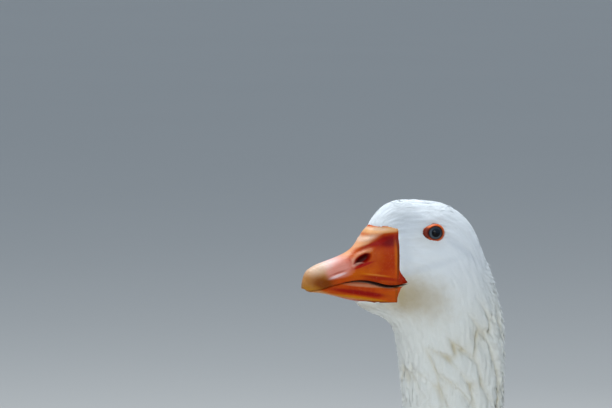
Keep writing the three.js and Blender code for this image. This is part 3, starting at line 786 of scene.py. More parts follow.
def vaneTemplate(alongs, widths, columns):
    # one leaf: a root point, rows of columns + 1 points, a tip point; all faces are triangles
    across = np.linspace(-1, 1, columns + 1)
    u = np.concatenate([[0], np.repeat(alongs, columns + 1), [1]])
    v = np.concatenate([[0], np.tile(across, len(alongs)), [0]])
    width = np.concatenate([[0], np.repeat(widths, columns + 1), [0]])
    faces = [(0, 1 + j, 2 + j) for j in range(columns)]
    for i in range(len(alongs) - 1):
        for j in range(columns):
            a = 1 + i * (columns + 1) + j
            b = a + columns + 1
            faces += [(a, b, b + 1), (a, b + 1, a + 1)]
    last = 1 + (len(alongs) - 1) * (columns + 1)
    faces += [(last + j, len(u) - 1, last + j + 1) for j in range(columns)]
    return {"u": u, "v": v, "width": width, "faces": np.array(faces, np.int32)[:, ::-1]}


hairVane = vaneTemplate([0.35, 0.75], [0.9, 0.8], 1)
tuftVane = vaneTemplate([0.3, 0.72], [0.85, 0.85], 2)
smallVane = vaneTemplate([0.22, 0.55, 0.85], [0.6, 1.0, 0.78], 2)
bodyVane = vaneTemplate([0.12, 0.3, 0.5, 0.68, 0.82, 0.92, 0.975], [0.35, 0.66, 0.9, 1, 0.94, 0.72, 0.4], 4)


def goldenPlaces(count, seed):
    # an even scatter over the unit square
    k = np.arange(count) + seed * 0.37
    return (k * 0.7548776662466927 + 0.31 * seed) % 1.0, (k * 0.5698402909980532 + 0.17) % 1.0


def scatterRoots(fromS, toS, seed, jitter=0.28):
    # roots spread evenly over the real surface, as far apart as featherGap says
    rows, columns = 160, 240
    sGrid = np.linspace(fromS, toS, rows)
    tGrid = np.linspace(0, 2 * math.pi, columns + 1)
    s, t = np.meshgrid(sGrid, tGrid, indexing="ij")
    perS, perTurn = surfaceScale(s, t)
    weight = perS * perTurn / featherGap(s) ** 2
    around = np.cumsum((weight[:, 1:] + weight[:, :-1]) / 2, axis=1)
    rowWeight = around[:, -1] * (tGrid[1] - tGrid[0])
    rowSum = np.concatenate([[0], np.cumsum((rowWeight[1:] + rowWeight[:-1]) / 2 * np.diff(sGrid))])
    count = int(rowSum[-1])
    u, v = goldenPlaces(count, seed)
    rootS = np.interp(u * rowSum[-1], rowSum, sGrid)
    around = np.concatenate([np.zeros((rows, 1)), around / around[:, -1:]], axis=1)
    row = (rootS - fromS) / (toS - fromS) * (rows - 1)
    low = np.clip(row.astype(int), 0, rows - 2)
    curve = lerp(around[low], around[low + 1], (row - low)[:, None])
    cell = np.clip((curve < v[:, None]).sum(1), 1, columns)
    index = np.arange(count)
    before, after = curve[index, cell - 1], curve[index, cell]
    rootTurn = tGrid[cell - 1] + (tGrid[1] - tGrid[0]) * (v - before) / np.maximum(after - before, 1e-9)
    rng = np.random.default_rng(seed + 100)
    perS, perTurn = surfaceScale(rootS, rootTurn)
    gap = featherGap(rootS)
    rootS = rootS + rng.normal(0, jitter, count) * gap / perS
    rootTurn = rootTurn + rng.normal(0, jitter, count) * gap / perTurn
    return {"s": rootS, "turn": rootTurn, "u": u, "v": v}


# On the baked unwrap each feather is a small patch at its root's place on the skin.
unwrap = {"scale": 0.985, "margin": 0.006, "feather": 0.0028}


def layFeathers(name, roots, shape, template, material, nodes=(), smoothing=0.5, onto=body, mirrored=False):
    # roots: s, turn and the unwrap u, v. shape: length, width, lean and so on, one or one for each
    count = len(roots["s"])
    u, v, width = template["u"], template["v"], template["width"]
    shape = {"bend": 0.0, "droop": 0.0, **shape}
    look = {key: np.broadcast_to(value, count)[:, None] for key, value in shape.items()}
    rootS, rootTurn = roots["s"][:, None], roots["turn"][:, None]
    along = u * look["length"]
    across = v * width * look["width"] / 2
    aside = across + look["bend"] * u * u * look["length"]
    cosine, sine = np.cos(look["lean"]), np.sin(look["lean"])
    perS, perTurn = surfaceScale(rootS, rootTurn, onto, 0.004)
    s = rootS + (along * cosine - aside * sine) / np.maximum(perS, 0.3)
    turn = rootTurn + (along * sine + aside * cosine) / perTurn
    rise = lerp(look["low"], look["high"], u ** look["power"]) - look["droop"] * u ** 5
    rise = rise - look["camber"] * look["width"] * (v * width) ** 2 + look["tilt"] * across
    base = onto(s, turn)
    points = onto(s, turn, rise).reshape(-1, 3)
    faces = (template["faces"][None] + (np.arange(count) * len(u))[:, None, None]).reshape(-1, 3)
    soft = np.cross(onto(s + 1.5, turn) - base, onto(s, turn + 0.01) - base).reshape(-1, 3)
    rootU, rootV = roots["u"], roots["v"]
    # the painted shade of the neck's furrows, kept at each point
    hollowShade = furrowShade(s, turn).ravel() if onto is body else np.zeros(len(points))
    edges = points[faces[:, 1]] - points[faces[:, 0]], points[faces[:, 2]] - points[faces[:, 0]]
    outward = (onto(s, turn, 1.0) - base).reshape(-1, 3)[faces[:, 0]]
    if (np.cross(*edges) * outward).sum() < 0:
        faces = faces[:, ::-1]
    if mirrored:
        faces = np.concatenate([faces, faces[:, ::-1] + len(points)])
        points = np.concatenate([points, points * (1, -1, 1)])
        soft = np.concatenate([soft, soft * (1, -1, 1)])
        rootU, rootV = np.tile(rootU, 2), np.concatenate([rootV * 0.5, 0.5 + rootV * 0.5])
        hollowShade = np.tile(hollowShade, 2)
        count *= 2
    piece = addPiece(name, points, faces, material, nodes)
    corner = faces.ravel()
    vane = np.stack([u, v * 0.5 + 0.5], -1)
    setCornerMap(piece, "vane", np.tile(vane, (count, 1))[corner])
    rootPlace = np.stack([rootU, rootV], -1) * unwrap["scale"] + unwrap["margin"]
    bake = (rootPlace[:, None] + vane * unwrap["feather"]).reshape(-1, 2)
    setCornerMap(piece, "OFBake", bake[corner])
    setPointValues(piece, "hollowShade", hollowShade)
    # lean the shading towards the soft surface below, as plush feathers do
    own = np.empty(len(soft) * 3, np.float32)
    piece.data.vertices.foreach_get("normal", own)
    own = own.reshape(-1, 3)
    soft = unit(soft)
    soft *= np.sign((own * soft).sum(1, keepdims=True))
    piece.data.normals_split_custom_set_from_vertices(unit(lerp(own, soft, smoothing)).tolist())


featherKnots = [0, 20, 60, 93, 125, 163, 221, 307, 389, 476, 604, 803, 1012, 1137]
featherLength = splineThrough(featherKnots, [3.2, 3.8, 5.2, 6.6, 9.0, 12, 16, 21, 26, 32, 38, 42, 40, 36])
featherGap = splineThrough(featherKnots,
                           [0.78, 0.82, 0.9, 1.0, 1.15, 1.35, 1.8, 2.8, 4.8, 8.0, 9.5, 10.5, 9.5, 8])


def keepRoots(roots, wanted):
    return {key: values[wanted] for key, values in roots.items()}


def featherShape(roots, rng, widthShare, ruffle, lean, power=0.9):
    # neighbouring feathers lean together, as if brushed by the wind
    s = roots["s"]
    count = len(s)
    length = featherLength(s) * rng.uniform(0.8, 1.15, count)
    depth = coatDepth(s)
    return {
        "length": length,
        "width": length * widthShare * rng.uniform(0.85, 1.15, count),
        "lean": rng.normal(0, 0.10 * ruffle, count) + lean * comb(s, roots["turn"]),
        "bend": rng.normal(0, 0.05 * ruffle, count),
        "low": -depth * 0.95,
        "high": rng.normal(-0.10, 0.16 * ruffle, count) * depth * 0.5,
        "camber": 0.10,
        "tilt": rng.normal(0, 0.10 * ruffle, count),
        "power": power,
    }


headCoat = {"ends": [0, 50, 93], "seed": 21, "width": 0.27, "ruffle": 0.8, "lean": 0.22, "smooth": 0.55,
            "edge": -0.15, "ragged": 0.35, "shorter": 0.78}
neckCoat = {"ends": [93, 125, 160, 205, 270, 340, 400], "seed": 41, "width": 0.26, "ruffle": 1.0,
            "lean": 0.16, "smooth": 0.6, "broader": 1.5, "broadens": (250, 400), "lift": (0.2, 0.9),
            "highest": 2.4}
comb = ripples(77, 22, 9, 20)


def bands(coat, jitter=0.28):
    # the lengths that a coat is made in: a number, the middle, the random numbers and the roots
    for k, (start, end) in enumerate(zip(coat["ends"], coat["ends"][1:])):
        seed = coat["seed"] + k
        yield k, (start + end) / 2, np.random.default_rng(seed), scatterRoots(start, end, seed, jitter)


def makeHeadCoat():
    for k, _, rng, roots in bands(headCoat):
        points = bareBody(roots["s"], roots["turn"])
        bare = aheadOfLine(points[:, 0], points[:, 2])
        edge = headCoat["edge"] + headCoat["ragged"] * rng.normal(0, 1, len(bare)).clip(-1.5, 1.6)
        roots = keepRoots(roots, (bare < edge) & (besideEye(points) > 0.1) & (roots["s"] > 0.2))
        shape = featherShape(roots, rng, headCoat["width"], headCoat["ruffle"], headCoat["lean"])
        for _ in range(7):
            # those ahead of the eye end at the lids
            tip = bareBody(roots["s"] + shape["length"], roots["turn"])
            shape["length"] = shape["length"] * np.where(besideEye(tip) < 0.3, headCoat["shorter"], 1.0)
        layFeathers(f"plumage_head_{k + 1}", roots, shape, hairVane, plushMaterial, (), headCoat["smooth"])


def makeNeckCoat():
    for k, middle, rng, roots in bands(neckCoat):
        broad = lerp(1.0, neckCoat["broader"], smoothStep(*neckCoat["broadens"], middle))
        shape = featherShape(roots, rng, neckCoat["width"] * broad, neckCoat["ruffle"], neckCoat["lean"])
        nape = smoothStep(0.2, 1.0, np.cos(roots["turn"]))
        lift = np.clip(rng.normal(*neckCoat["lift"], len(nape)), 0, neckCoat["highest"])
        shape["high"] = shape["high"] + nape * lift
        layFeathers(f"plumage_neck_{k + 1}", roots, shape, tuftVane, plushMaterial, (), neckCoat["smooth"])


billX = [-44, -53.5, -64, -74, -83, -92, -101, -110, -118, -124, -127.6, -129.8]
billLines = {
    "ridge": [860, 861, 861, 859.6, 847.4, 840, 836.4, 833.6, 831, 828, 824, 818],
    "edge": [817.8, 815.1, 814.6, 817.2, 818.8, 818.7, 817.2, 815.0, 812.9, 811.9, 811.8, 812.8],
    "wide": [19, 18, 16.6, 15.2, 14, 13.1, 12.3, 11.5, 10.4, 8.4, 5.9, 2.6],
    "keel": [799, 800, 799.8, 799.8, 800.6, 802.4, 805, 807.4, 809.1, 809.9, 810.2, 810.6],
}
billPath = [-x for x in billX]
billAt = {name: splineThrough(billPath, values) for name, values in billLines.items()}
bill = {"rings": 150, "around": 84, "nailFrom": -113.4, "nailProud": 0.22, "nailSoft": 3.0, "gap": 1.7,
        "lipDeep": 1.7, "nailDeep": 0.8, "lowerDeep": 1.4, "overhang": 1.5, "broadens": (-86, -70),
        "inCheek": 0.75, "tucked": 3.5, "roofPoints": 14}

# Carved forms in side view: x, z, reach along, reach across, tilt, height, and a
# steepness where it is not 1.
billForms = {
    "nostril": (-83.6, 835.2, 6.9, 2.9, 33, -3.8, 2.4),
    "nostrilRoof": (-82.4, 839.6, 9.0, 1.9, 30, 0.95),
    "nostrilFloor": (-86.5, 831.0, 5.4, 0.8, 12, 0.5),
    "nostrilFold": (-82.5, 830.4, 8.6, 0.8, 22, -0.5),
    "nostrilFront": (-92.6, 834.0, 1.2, 2.6, 0, -0.5),
    "underRidge": (-63.5, 849.0, 9.5, 5.6, 16, -1.9),
    "underRidgeAhead": (-78.5, 844.4, 9.5, 2.0, 26, -1.0),
    "ridgeEdge": (-67.5, 855.6, 12, 1.8, 10, 0.6),
    "culmenFold": (-79.0, 850.2, 6.5, 1.0, 12, 0.5),
    "culmenCrease": (-77.5, 852.6, 6.5, 0.9, 8, -0.45),
    "behindNostril": (-72, 833, 6, 6, 0, 0.35),
    "cornerHollow": (-58.5, 826, 5.5, 10, 8, -0.5),
    "frontCrease": (-104.0, 825.2, 6.6, 0.7, 17, -0.6),
    "frontFold": (-105.0, 822.9, 7.6, 1.0, 18, 0.65),
    "frontPlane": (-99, 829.5, 8, 3, 20, -0.35),
}
lowerForms = {
    "band": (-84, 808.4, 30, 1.7, -9, -0.9),
    "bandEdge": (-84, 804.4, 28, 1.1, -8, 0.4),
    "lipRoll": (-80, 812.6, 26, 1.2, -8, 0.3),
}


def cheekWidth(x, z):
    # half width of the feathered head at a point in side view, 0 outside it
    s, turn = bodyAt(x, z)
    width = np.abs(bareBody(s, turn)[..., 1])
    backX, backZ, frontX, frontZ = (np.interp(0.0, alongFine, row) for row in lineFine[:4])
    ahead = (backX - frontX) * (z - frontZ) - (backZ - frontZ) * (x - frontX)
    return np.where(ahead > 0, 0, width)


def lipSag(x):
    # the lower lip hangs a little open below the cheek
    return 1.3 * np.exp(-((x + 70) / 14) ** 2)


def billRing(t, lower):
    # ring points of one half of the bill: its outer wall from lip to lip, and the height of the lip
    path = billPath[0] + (billPath[-1] - (5 if lower else 0) - billPath[0]) * np.sin(math.pi / 2 * t) ** 0.9
    x = -path
    lip = billAt["edge"](path)
    wide = billAt["wide"](path)
    if lower:
        lip = lip - lerp(0.35, bill["gap"], smoothStep(-104, -88, x)) - lipSag(x)
        wide = np.maximum(wide - bill["overhang"], 1.2)
    far = billAt["keel" if lower else "ridge"](path)
    outer = bill["around"]
    turn = (np.arange(outer + 1) / outer - 0.5) * math.pi
    turn = turn - 0.12 * np.sin(2 * turn)
    side = np.sign(turn) * np.abs(np.sin(turn)) ** 0.85
    height = np.cos(turn).clip(0) ** (0.45 if lower else 0.78)
    z = lip[:, None] + (far - lip)[:, None] * height
    return np.repeat(x[:, None], outer + 1, axis=1), wide[:, None] * side, z, lip[:, None]


# The rolled edge of the upper lip: height, place above the edge and reach of each fold.
lipFolds = [(0.55, 1.3, 1.0), (-0.35, 3.6, 1.1), (0.18, 5.6, 0.8)]


def billSurface(lower):
    x, y, z, lip = billRing(np.linspace(0, 1, bill["rings"]), lower)
    # near its root the bill is as broad as the feathers behind it
    behind = smoothStep(0.0, 2.2, -aheadOfLine(x, z))
    broad = np.maximum(np.abs(y), cheekWidth(x, z) - bill["inCheek"] - bill["tucked"] * behind)
    y = np.sign(y) * lerp(np.abs(y), broad, smoothStep(*bill["broadens"], x))
    points = np.stack([x, y, z], -1)
    normal = unit(np.cross(np.gradient(points, axis=0), np.gradient(points, axis=1)))
    normal *= np.sign((normal * (points - points.mean(1, keepdims=True))).sum(-1).mean())
    sides = np.clip(np.abs(normal[..., 1]) * 1.7 - 0.1, 0, 1)
    out = carve(lowerForms if lower else billForms, x, z) * sides
    if not lower:
        along = smoothStep(-112, -104, x) * (1 - smoothStep(-56, -50, x))
        for height, above, reach in lipFolds:
            out += along * sides * height * np.exp(-((z - lip - above) / reach) ** 2)
    return points + normal * out[..., None]


def closeHalf(points, lower, lipDeep):
    # adds the roof (or floor) of the mouth inside the lips and returns a closed grid
    start, end = points[:, -1], points[:, 0]
    inner = bill["roofPoints"]
    share = (np.arange(inner) + 1) / (inner + 1)
    bow = np.sin(math.pi * share) ** 0.5
    roof = lerp(start[:, None], end[:, None], share[None, :, None])
    size = np.abs(start[:, 1] - end[:, 1])[:, None] / 30
    roof[..., 2] += (-1 if lower else 1) * lipDeep * bow[None] * np.clip(size, 0.15, 1)
    return np.concatenate([points, roof], axis=1)


billLooks = {"Roughness": 0.32, "Specular IOR Level": 0.11, "Subsurface Weight": 0.05,
             "Subsurface Scale": 0.0015, "Subsurface Radius": (1.0, 0.35, 0.15)}
# Colours of the upper bill and the nail, laid over each other, with painted highlights and painted shade
# among
# them: place and size of a soft patch in side view (x, z, reach along, reach across, tilt, softness), how
# strong it is, and its colour.
upperPaint = {
    "side": ((-64, 832, 10, 13, 0, 0.8), 0.55, (0.47, 0.030, 0.003)),
    "behindNostril": ((-74, 836, 6, 8, 0, 0.8), 0.4, (0.62, 0.12, 0.008)),
    "aboveLip": ((-88, 824, 14, 4, 8, 0.8), 0.55, (0.72, 0.19, 0.035)),
    "brow": ((-66, 857.9, 18, 2.5, 4, 0.5), 0.92, (0.93, 0.52, 0.26)),
    # painted highlight along the brow of the bill
    "browHighlight": ((-69, 858.6, 7, 1.3, 0, 0.6), 0.65, (1.0, 0.74, 0.56)),
    "culmen": ((-86, 845.6, 20, 3.9, 31, 0.5), 0.88, (0.93, 0.50, 0.29)),
    # painted highlight on the culmen
    "culmenHighlight": ((-79, 851.0, 8, 1.7, 18, 0.6), 0.6, (1.0, 0.72, 0.56)),
    "underRidge": ((-62.5, 849.6, 11.0, 5.0, 10, 0.55), 0.97, (0.32, 0.002, 0.001)),
    "underRidgeDeep": ((-61.8, 849.2, 4.5, 3.4, 0, 0.7), 0.8, (0.20, 0.0, 0.0)),
    "ridgeShadow": ((-76.0, 845.6, 11.5, 1.9, 22, 0.6), 0.92, (0.40, 0.008, 0.002)),
    "ridgeShadowAhead": ((-88.0, 840.2, 6.5, 1.3, 38, 0.7), 0.6, (0.50, 0.06, 0.008)),
    "nostrilRim": ((-83.2, 839.0, 9.0, 2.6, 30, 0.5), 0.62, (0.82, 0.44, 0.27)),
    "nostrilLip": ((-90.2, 832.6, 2.4, 3.6, 0, 0.5), 0.75, (0.80, 0.42, 0.30)),
    "nostrilEdge": ((-83.7, 835.0, 8.2, 3.7, 33, 0.2), 0.97, (0.34, 0.004, 0.003)),
    # painted shade inside the nostril
    "nostrilShade": ((-83.2, 835.4, 6.4, 2.5, 33, 0.3), 0.97, (0.055, 0.0, 0.0)),
    "nostrilFloor": ((-87.2, 831.4, 5.2, 0.8, 11, 0.4), 0.85, (0.85, 0.44, 0.34)),
    "nostrilFold": ((-84.0, 830.5, 9.4, 1.1, 19, 0.4), 0.92, (0.42, 0.004, 0.004)),
    "nostrilFront": ((-93.0, 833.6, 1.1, 2.7, 8, 0.6), 0.7, (0.42, 0.03, 0.008)),
    "pink": ((-107, 828.6, 15.5, 9.5, 12, 0.45), 0.93, (0.86, 0.38, 0.31)),
    # painted highlight on the pink front of the bill
    "pinkHighlight": ((-112, 832.6, 11, 3.2, 20, 0.7), 0.75, (1.0, 0.72, 0.68)),
    # painted shadow in the crease above the fold, and a painted highlight on the fold
    "frontCrease": ((-103.6, 825.4, 6.6, 0.8, 17, 0.6), 0.75, (0.56, 0.17, 0.13)),
    "frontFold": ((-105.2, 822.8, 7.4, 1.0, 18, 0.5), 0.85, (1.0, 0.72, 0.70)),
    "lipFront": ((-104, 819.4, 12, 1.6, 10, 0.6), 0.85, (0.55, 0.10, 0.035)),
    # painted highlight along the rolled edge of the upper lip
    "lipHighlight": ((-73, 822.6, 10, 0.9, -8, 0.6), 0.6, (0.82, 0.34, 0.14)),
    "lipShadow": ((-69, 820.0, 15, 1.4, -8, 0.6), 0.75, (0.36, 0.014, 0.003)),
    "gape": ((-51.5, 820.0, 4.5, 5.5, -30, 0.6), 0.85, (0.36, 0.012, 0.002)),
    "rearEdge": ((-57.4, 836, 1.3, 12, 0, 0.7), 0.6, (0.74, 0.18, 0.014)),
    # painted shadow of the feather edge along the rear of the upper bill
    "rearShadow": ((-56.0, 836, 0.85, 16, -1, 0.6), 0.85, (0.12, 0.03, 0.006)),
    "nail": ((-123.6, 821, 10.6, 14, 0, 0.28), 0.97, (0.58, 0.29, 0.12)),
    # the paler top of the nail, with a painted highlight on it
    "nailTop": ((-119, 829.5, 9, 4.5, 20, 0.8), 0.75, (0.86, 0.64, 0.50)),
    "nailSide": ((-116.4, 817.0, 9.0, 5.6, -8, 0.7), 0.95, (0.22, 0.045, 0.005)),
    "nailTip": ((-127.5, 812.5, 7.5, 3.0, -6, 0.8), 0.7, (0.50, 0.22, 0.045)),
}
lowerPaint = {
    "front": ((-108, 812, 14, 3.4, -12, 0.6), 0.7, (0.58, 0.12, 0.045)),
    # painted highlight along the upper edge of the lower bill
    "lip": ((-82, 814.6, 19, 1.5, -6, 0.6), 0.75, (0.72, 0.35, 0.22)),
    # painted shadow of the feather edge along the rear of the lower bill
    "rearShadow": ((-56.6, 806, 0.9, 8, 6, 0.6), 0.8, (0.14, 0.035, 0.008)),
    "band": ((-84.5, 808.5, 25, 1.9, -9.3, 0.5), 0.95, (0.33, 0.003, 0.002)),
    "under": ((-86.5, 804.3, 24, 1.5, -9, 0.5), 0.85, (0.66, 0.26, 0.035)),
    "rear": ((-60, 806, 6, 6, 0, 0.7), 0.6, (0.62, 0.12, 0.012)),
    "bottom": ((-74, 800.2, 20, 1.1, -2, 0.6), 0.8, (0.20, 0.045, 0.008)),
    "tip": ((-120, 810, 10, 2.4, -14, 0.5), 0.8, (0.66, 0.36, 0.16)),
}


def makeBillPaint(name, layers):
    tree, given, made = newGroup(name, {"Mottle": 0.5}, {"Color": "Color"})
    color = blendColor(given["Mottle"], (0.62, 0.085, 0.005), (0.50, 0.042, 0.003))
    inputs = {"Saturation": 1.10, "Value": 0.77, "Color": layPatches(color, layers)}
    feed(made["Color"], addNode(tree, "ShaderNodeHueSaturation", inputs).outputs[0])
    return tree


def makeBillMaterial(name, paint, pores):
    material, tree, shader = newMaterial(name, billLooks)
    finish = useGroup(tree, bareSkin, {"Pores": pores, "Creases": 330.0, "Stretch": 2.2})
    color = useGroup(tree, paint, {"Mottle": finish["Mottle"]})["Color"]
    # pale specks where the outer skin has worn
    where = objectPlace(tree)
    speck = remap(cells(where, 900.0), 0.10, 0.22, 0.3, 0.0)
    color = tinted(color, (0.85, 0.45, 0.25), speck, remap(noise(where, 120.0), 0.48, 0.66))
    feed(shader.inputs["Base Color"], color)
    feed(shader.inputs["Roughness"], remap(finish["Mottle"], 0.0, 1.0, 0.28, 0.44, "LINEAR"))
    setBump(shader, finish["Height"], 0.55, 0.0006)
    return material


def plainMaterial(name, color, looks, bump=0.2, distance=0.0004, pores=900.0, other=None):
    material, tree, shader = newMaterial(name, looks)
    finish = useGroup(tree, bareSkin, {"Pores": pores, "Creases": 300.0})
    mixed = blendColor(finish["Mottle"], color, other or tuple(c * 0.8 for c in color))
    feed(shader.inputs["Base Color"], mixed)
    setBump(shader, finish["Height"], bump, distance)
    return material


def makeBill():
    upper = makeBillPaint("upperBillPaint", upperPaint)
    lower = makeBillPaint("lowerBillPaint", lowerPaint)
    wall = billSurface(False)
    splitAt = int(np.argmax(wall[:, bill["around"] // 2, 0] < bill["nailFrom"]))
    closedTube("bill_upper_skin", closeHalf(wall[:splitAt + 4], False, bill["lipDeep"]),
               makeBillMaterial("billUpper", upper, 1300.0), ["bill_upper"])
    # the nail is a horny plate that lies a little proud of the skin, with a soft edge
    nail = wall[splitAt:]
    lift = bill["nailProud"] * np.sqrt(np.clip(np.arange(len(nail)) / bill["nailSoft"], 0, 1))
    nail = nail + unit(nail - nail.mean(1, keepdims=True)) * (lift[:, None, None] - 0.12)
    nail[..., 0] = np.maximum(nail[..., 0], billTip)
    closedTube("bill_nail_horn", closeHalf(nail, False, bill["nailDeep"]),
               makeBillMaterial("billNail", upper, 600.0), ["bill_nail"])
    closedTube("bill_lower_skin", closeHalf(billSurface(True), True, bill["lowerDeep"]),
               makeBillMaterial("billLower", lower, 1300.0), ["bill_lower"])
    makeLamellae()
    makeMouthLining()


# The comb of small plates along the edge of the lower bill. Levels: height above the lip, how far
# out, and how thick.
lamellae = {"from": -58, "to": -98, "pitch": 1.15, "thick": 1.1, "ring": 8, "wide": 0.45, "inset": 0.6,
            "levels": [(-3.2, -0.45, 0.8), (-2.2, -0.02, 1.0), (-0.9, 0.15, 1.0), (0.3, 0.0, 0.9),
                       (0.9, -0.5, 0.6)],
            "color": (0.26, 0.12, 0.07), "looks": {"Roughness": 0.45, "Specular IOR Level": 0.4}}


def makeLamellae():
    count = int((lamellae["from"] - lamellae["to"]) / lamellae["pitch"])
    x = lamellae["from"] - (np.arange(count) + 0.5) * lamellae["pitch"]
    lip = billAt["edge"](-x) - bill["gap"] - lipSag(x)
    wide = billAt["wide"](-x) - bill["overhang"]
    wideRoot = np.maximum(wide, cheekWidth(x, lip) - bill["inCheek"] - lamellae["inset"])
    wide = lerp(wide, wideRoot, smoothStep(*bill["broadens"], x))
    points, faces = [], []
    fade = np.minimum(1, np.minimum(np.arange(count) + 2, count + 1 - np.arange(count)) / 5)
    ring = lamellae["ring"]
    for side in (-1, 1):
        for k in range(count):
            base = len(points)
            for level, (rise, out, thick) in enumerate(lamellae["levels"]):
                for j in range(ring):
                    a = 2 * math.pi * j / ring
                    points.append((
                        x[k] + math.cos(a) * lamellae["thick"] / 2 * thick,
                        side * (wide[k] - 0.5 + (out + math.sin(a) * lamellae["wide"]) * fade[k]),
                        lip[k] + rise * fade[k]))
                for j in range(ring if level else 0):
                    n = (j + 1) % ring
                    b = base + level * ring
                    a = b - ring
                    faces += [(a + j, a + n, b + n), (a + j, b + n, b + j)]
            top = base + (len(lamellae["levels"]) - 1) * ring
            for j in range(1, ring - 1):
                faces += [(base, base + j + 1, base + j), (top, top + j, top + j + 1)]
    material = plainMaterial("lamella", lamellae["color"], lamellae["looks"])
    addPiece("bill_lower_lamellae", points, faces, material, ["bill_lower"])


# The lining's near black colour is painted shade.
lining = {"from": 48.3, "to": 104, "rings": 60, "around": 24, "inset": 2.6, "below": 0.9, "half": 1.7,
          "color": (0.035, 0.010, 0.008), "looks": {"Roughness": 0.5, "Specular IOR Level": 0.3}}


def makeMouthLining():
    # the inside of the mouth, painted near black as the shade within it, seen through the narrow gap between
    # the lips
    path = np.linspace(lining["from"], lining["to"], lining["rings"])
    x = -path[:, None]
    edge = billAt["edge"](path)
    wide = (billAt["wide"](path) - lining["inset"]) * (1 - 0.35 * smoothStep(95, 106, path))
    corner = smoothStep(-57, -52, x)
    wide = lerp(wide[:, None], cheekWidth(x[:, 0], edge)[:, None] - 0.35, corner)
    turn = np.linspace(0, 2 * math.pi, lining["around"], endpoint=False)
    z = edge[:, None] - lining["below"] + lerp(lining["half"], 0.8, corner) * np.sin(turn)
    z = z - 0.5 * np.exp(-((x + 64) / 13) ** 2)
    grid = np.stack([x + 0 * turn, wide * np.cos(turn), z], -1)
    closedTube("mouth_lining", grid, plainMaterial("mouthLining", lining["color"], lining["looks"]))


def makeEyeMaterial():
    material, tree, shader = newMaterial("eyeball", {"Roughness": 0.06, "Specular IOR Level": 0.10})
    # the map "iris" holds the distance from the line of sight and the turn round it
    far, turn, _ = separate(cornerMap(tree, "iris"))
    spokes = addNode(tree, "ShaderNodeCombineXYZ", {0: times(far, 3.0), 1: times(turn, 70.0)}).outputs[0]
    fibre = noise(spokes, 1.0, 3.0, 0.6)
    color = blendColor(remap(fibre, 0.35, 0.7), (0.04, 0.05, 0.062), (0.10, 0.118, 0.138))
    iris, pupil = eye["iris"], eye["pupil"]
    color = blendColor(remap(far, iris * 0.76, iris * 0.95), color, (0.008, 0.012, 0.018))
    color = tinted(color, (0.02, 0.035, 0.05), remap(far, pupil, pupil + 0.8, 1.0, 0.0), 0.7)
    color = blendColor(remap(far, pupil - 0.15, pupil + 0.15, 1.0, 0.0), color, (0.002, 0.002, 0.003))
    # painted shadow of the upper lid: the iris is darker above
    height = calculate("SINE", calculate("MULTIPLY_ADD", turn, fullTurn, 0.5))
    color = tinted(color, (0.012, 0.016, 0.024), remap(height, -0.5, 0.9), 0.72)
    color = blendColor(remap(far, iris + 0.1, iris + 0.7), color, (0.10, 0.02, 0.01))
    feed(shader.inputs["Base Color"], color)
    return material


def makeEyes():
    eyeMaterial, lidMaterial = makeEyeMaterial(), makeLidMaterial()
    radius, sunk, around = eye["radius"], eye["sunk"], eye["around"]
    angle = np.linspace(0.0, math.acos((sunk - eye["open"]) / radius), eye["rings"] + 1)[1:, None]
    turn = np.arange(around) * 2 * math.pi / around
    far = radius * np.sin(angle)
    # a clear bulge over the iris stands out from the ball
    high = radius * np.cos(angle) - sunk + eye["bulge"] * (1 - smoothStep(0.0, eye["iris"], far))
    grid = np.stack([far * np.cos(turn), far * np.sin(turn), high + 0 * turn], -1)
    points, triangles = tubeShell(grid, [[0, 0, radius - sunk + eye["bulge"]], [0, 0, high[-1, 0]]])
    distance = np.hypot(points[:, 0], points[:, 1])
    turned = (np.arctan2(points[:, 1], points[:, 0]) / (2 * math.pi)) % 1
    iris = np.stack([distance, turned], -1)
    for side, order in (("left", 1), ("right", -1)):
        faces = triangles[:, ::order]
        ball = addPiece(f"eye_{side}_ball", fromEye(points, side), faces, eyeMaterial, [f"eye_{side}"])
        setCornerMap(ball, "iris", iris[faces.ravel()])
        makeLids(side, lidMaterial)


lidLooks = {"Roughness": 0.42, "Specular IOR Level": 0.2, "Subsurface Weight": 0.08,
            "Subsurface Scale": 0.0015, "Subsurface Radius": (1.0, 0.4, 0.2)}


def makeLidMaterial():
    material, tree, shader = newMaterial("eyelidSkin", lidLooks)
    finish = useGroup(tree, bareSkin, {"Pores": 1500.0, "Creases": 520.0, "Stretch": 1.0})
    color = blendColor(finish["Mottle"], (0.64, 0.105, 0.005), (0.42, 0.045, 0.002))
    # the map "lid" runs from the inner edge outwards, and towards the front corner
    across, front, _ = separate(cornerMap(tree, "lid"))
    color = tinted(color, (0.07, 0.014, 0.006), remap(across, 0.16, 0.5, 1.0, 0.0), 0.92)
    color = tinted(color, (0.66, 0.22, 0.05), remap(across, 0.78, 1.0), 0.4)
    corner = times(remap(front, 0.70, 0.90), remap(across, 0.80, 0.95, 1.0, 0.0))
    feed(shader.inputs["Base Color"], tinted(color, (0.14, 0.012, 0.004), corner, 0.92))
    setBump(shader, finish["Height"], 0.45, 0.0004)
    return material


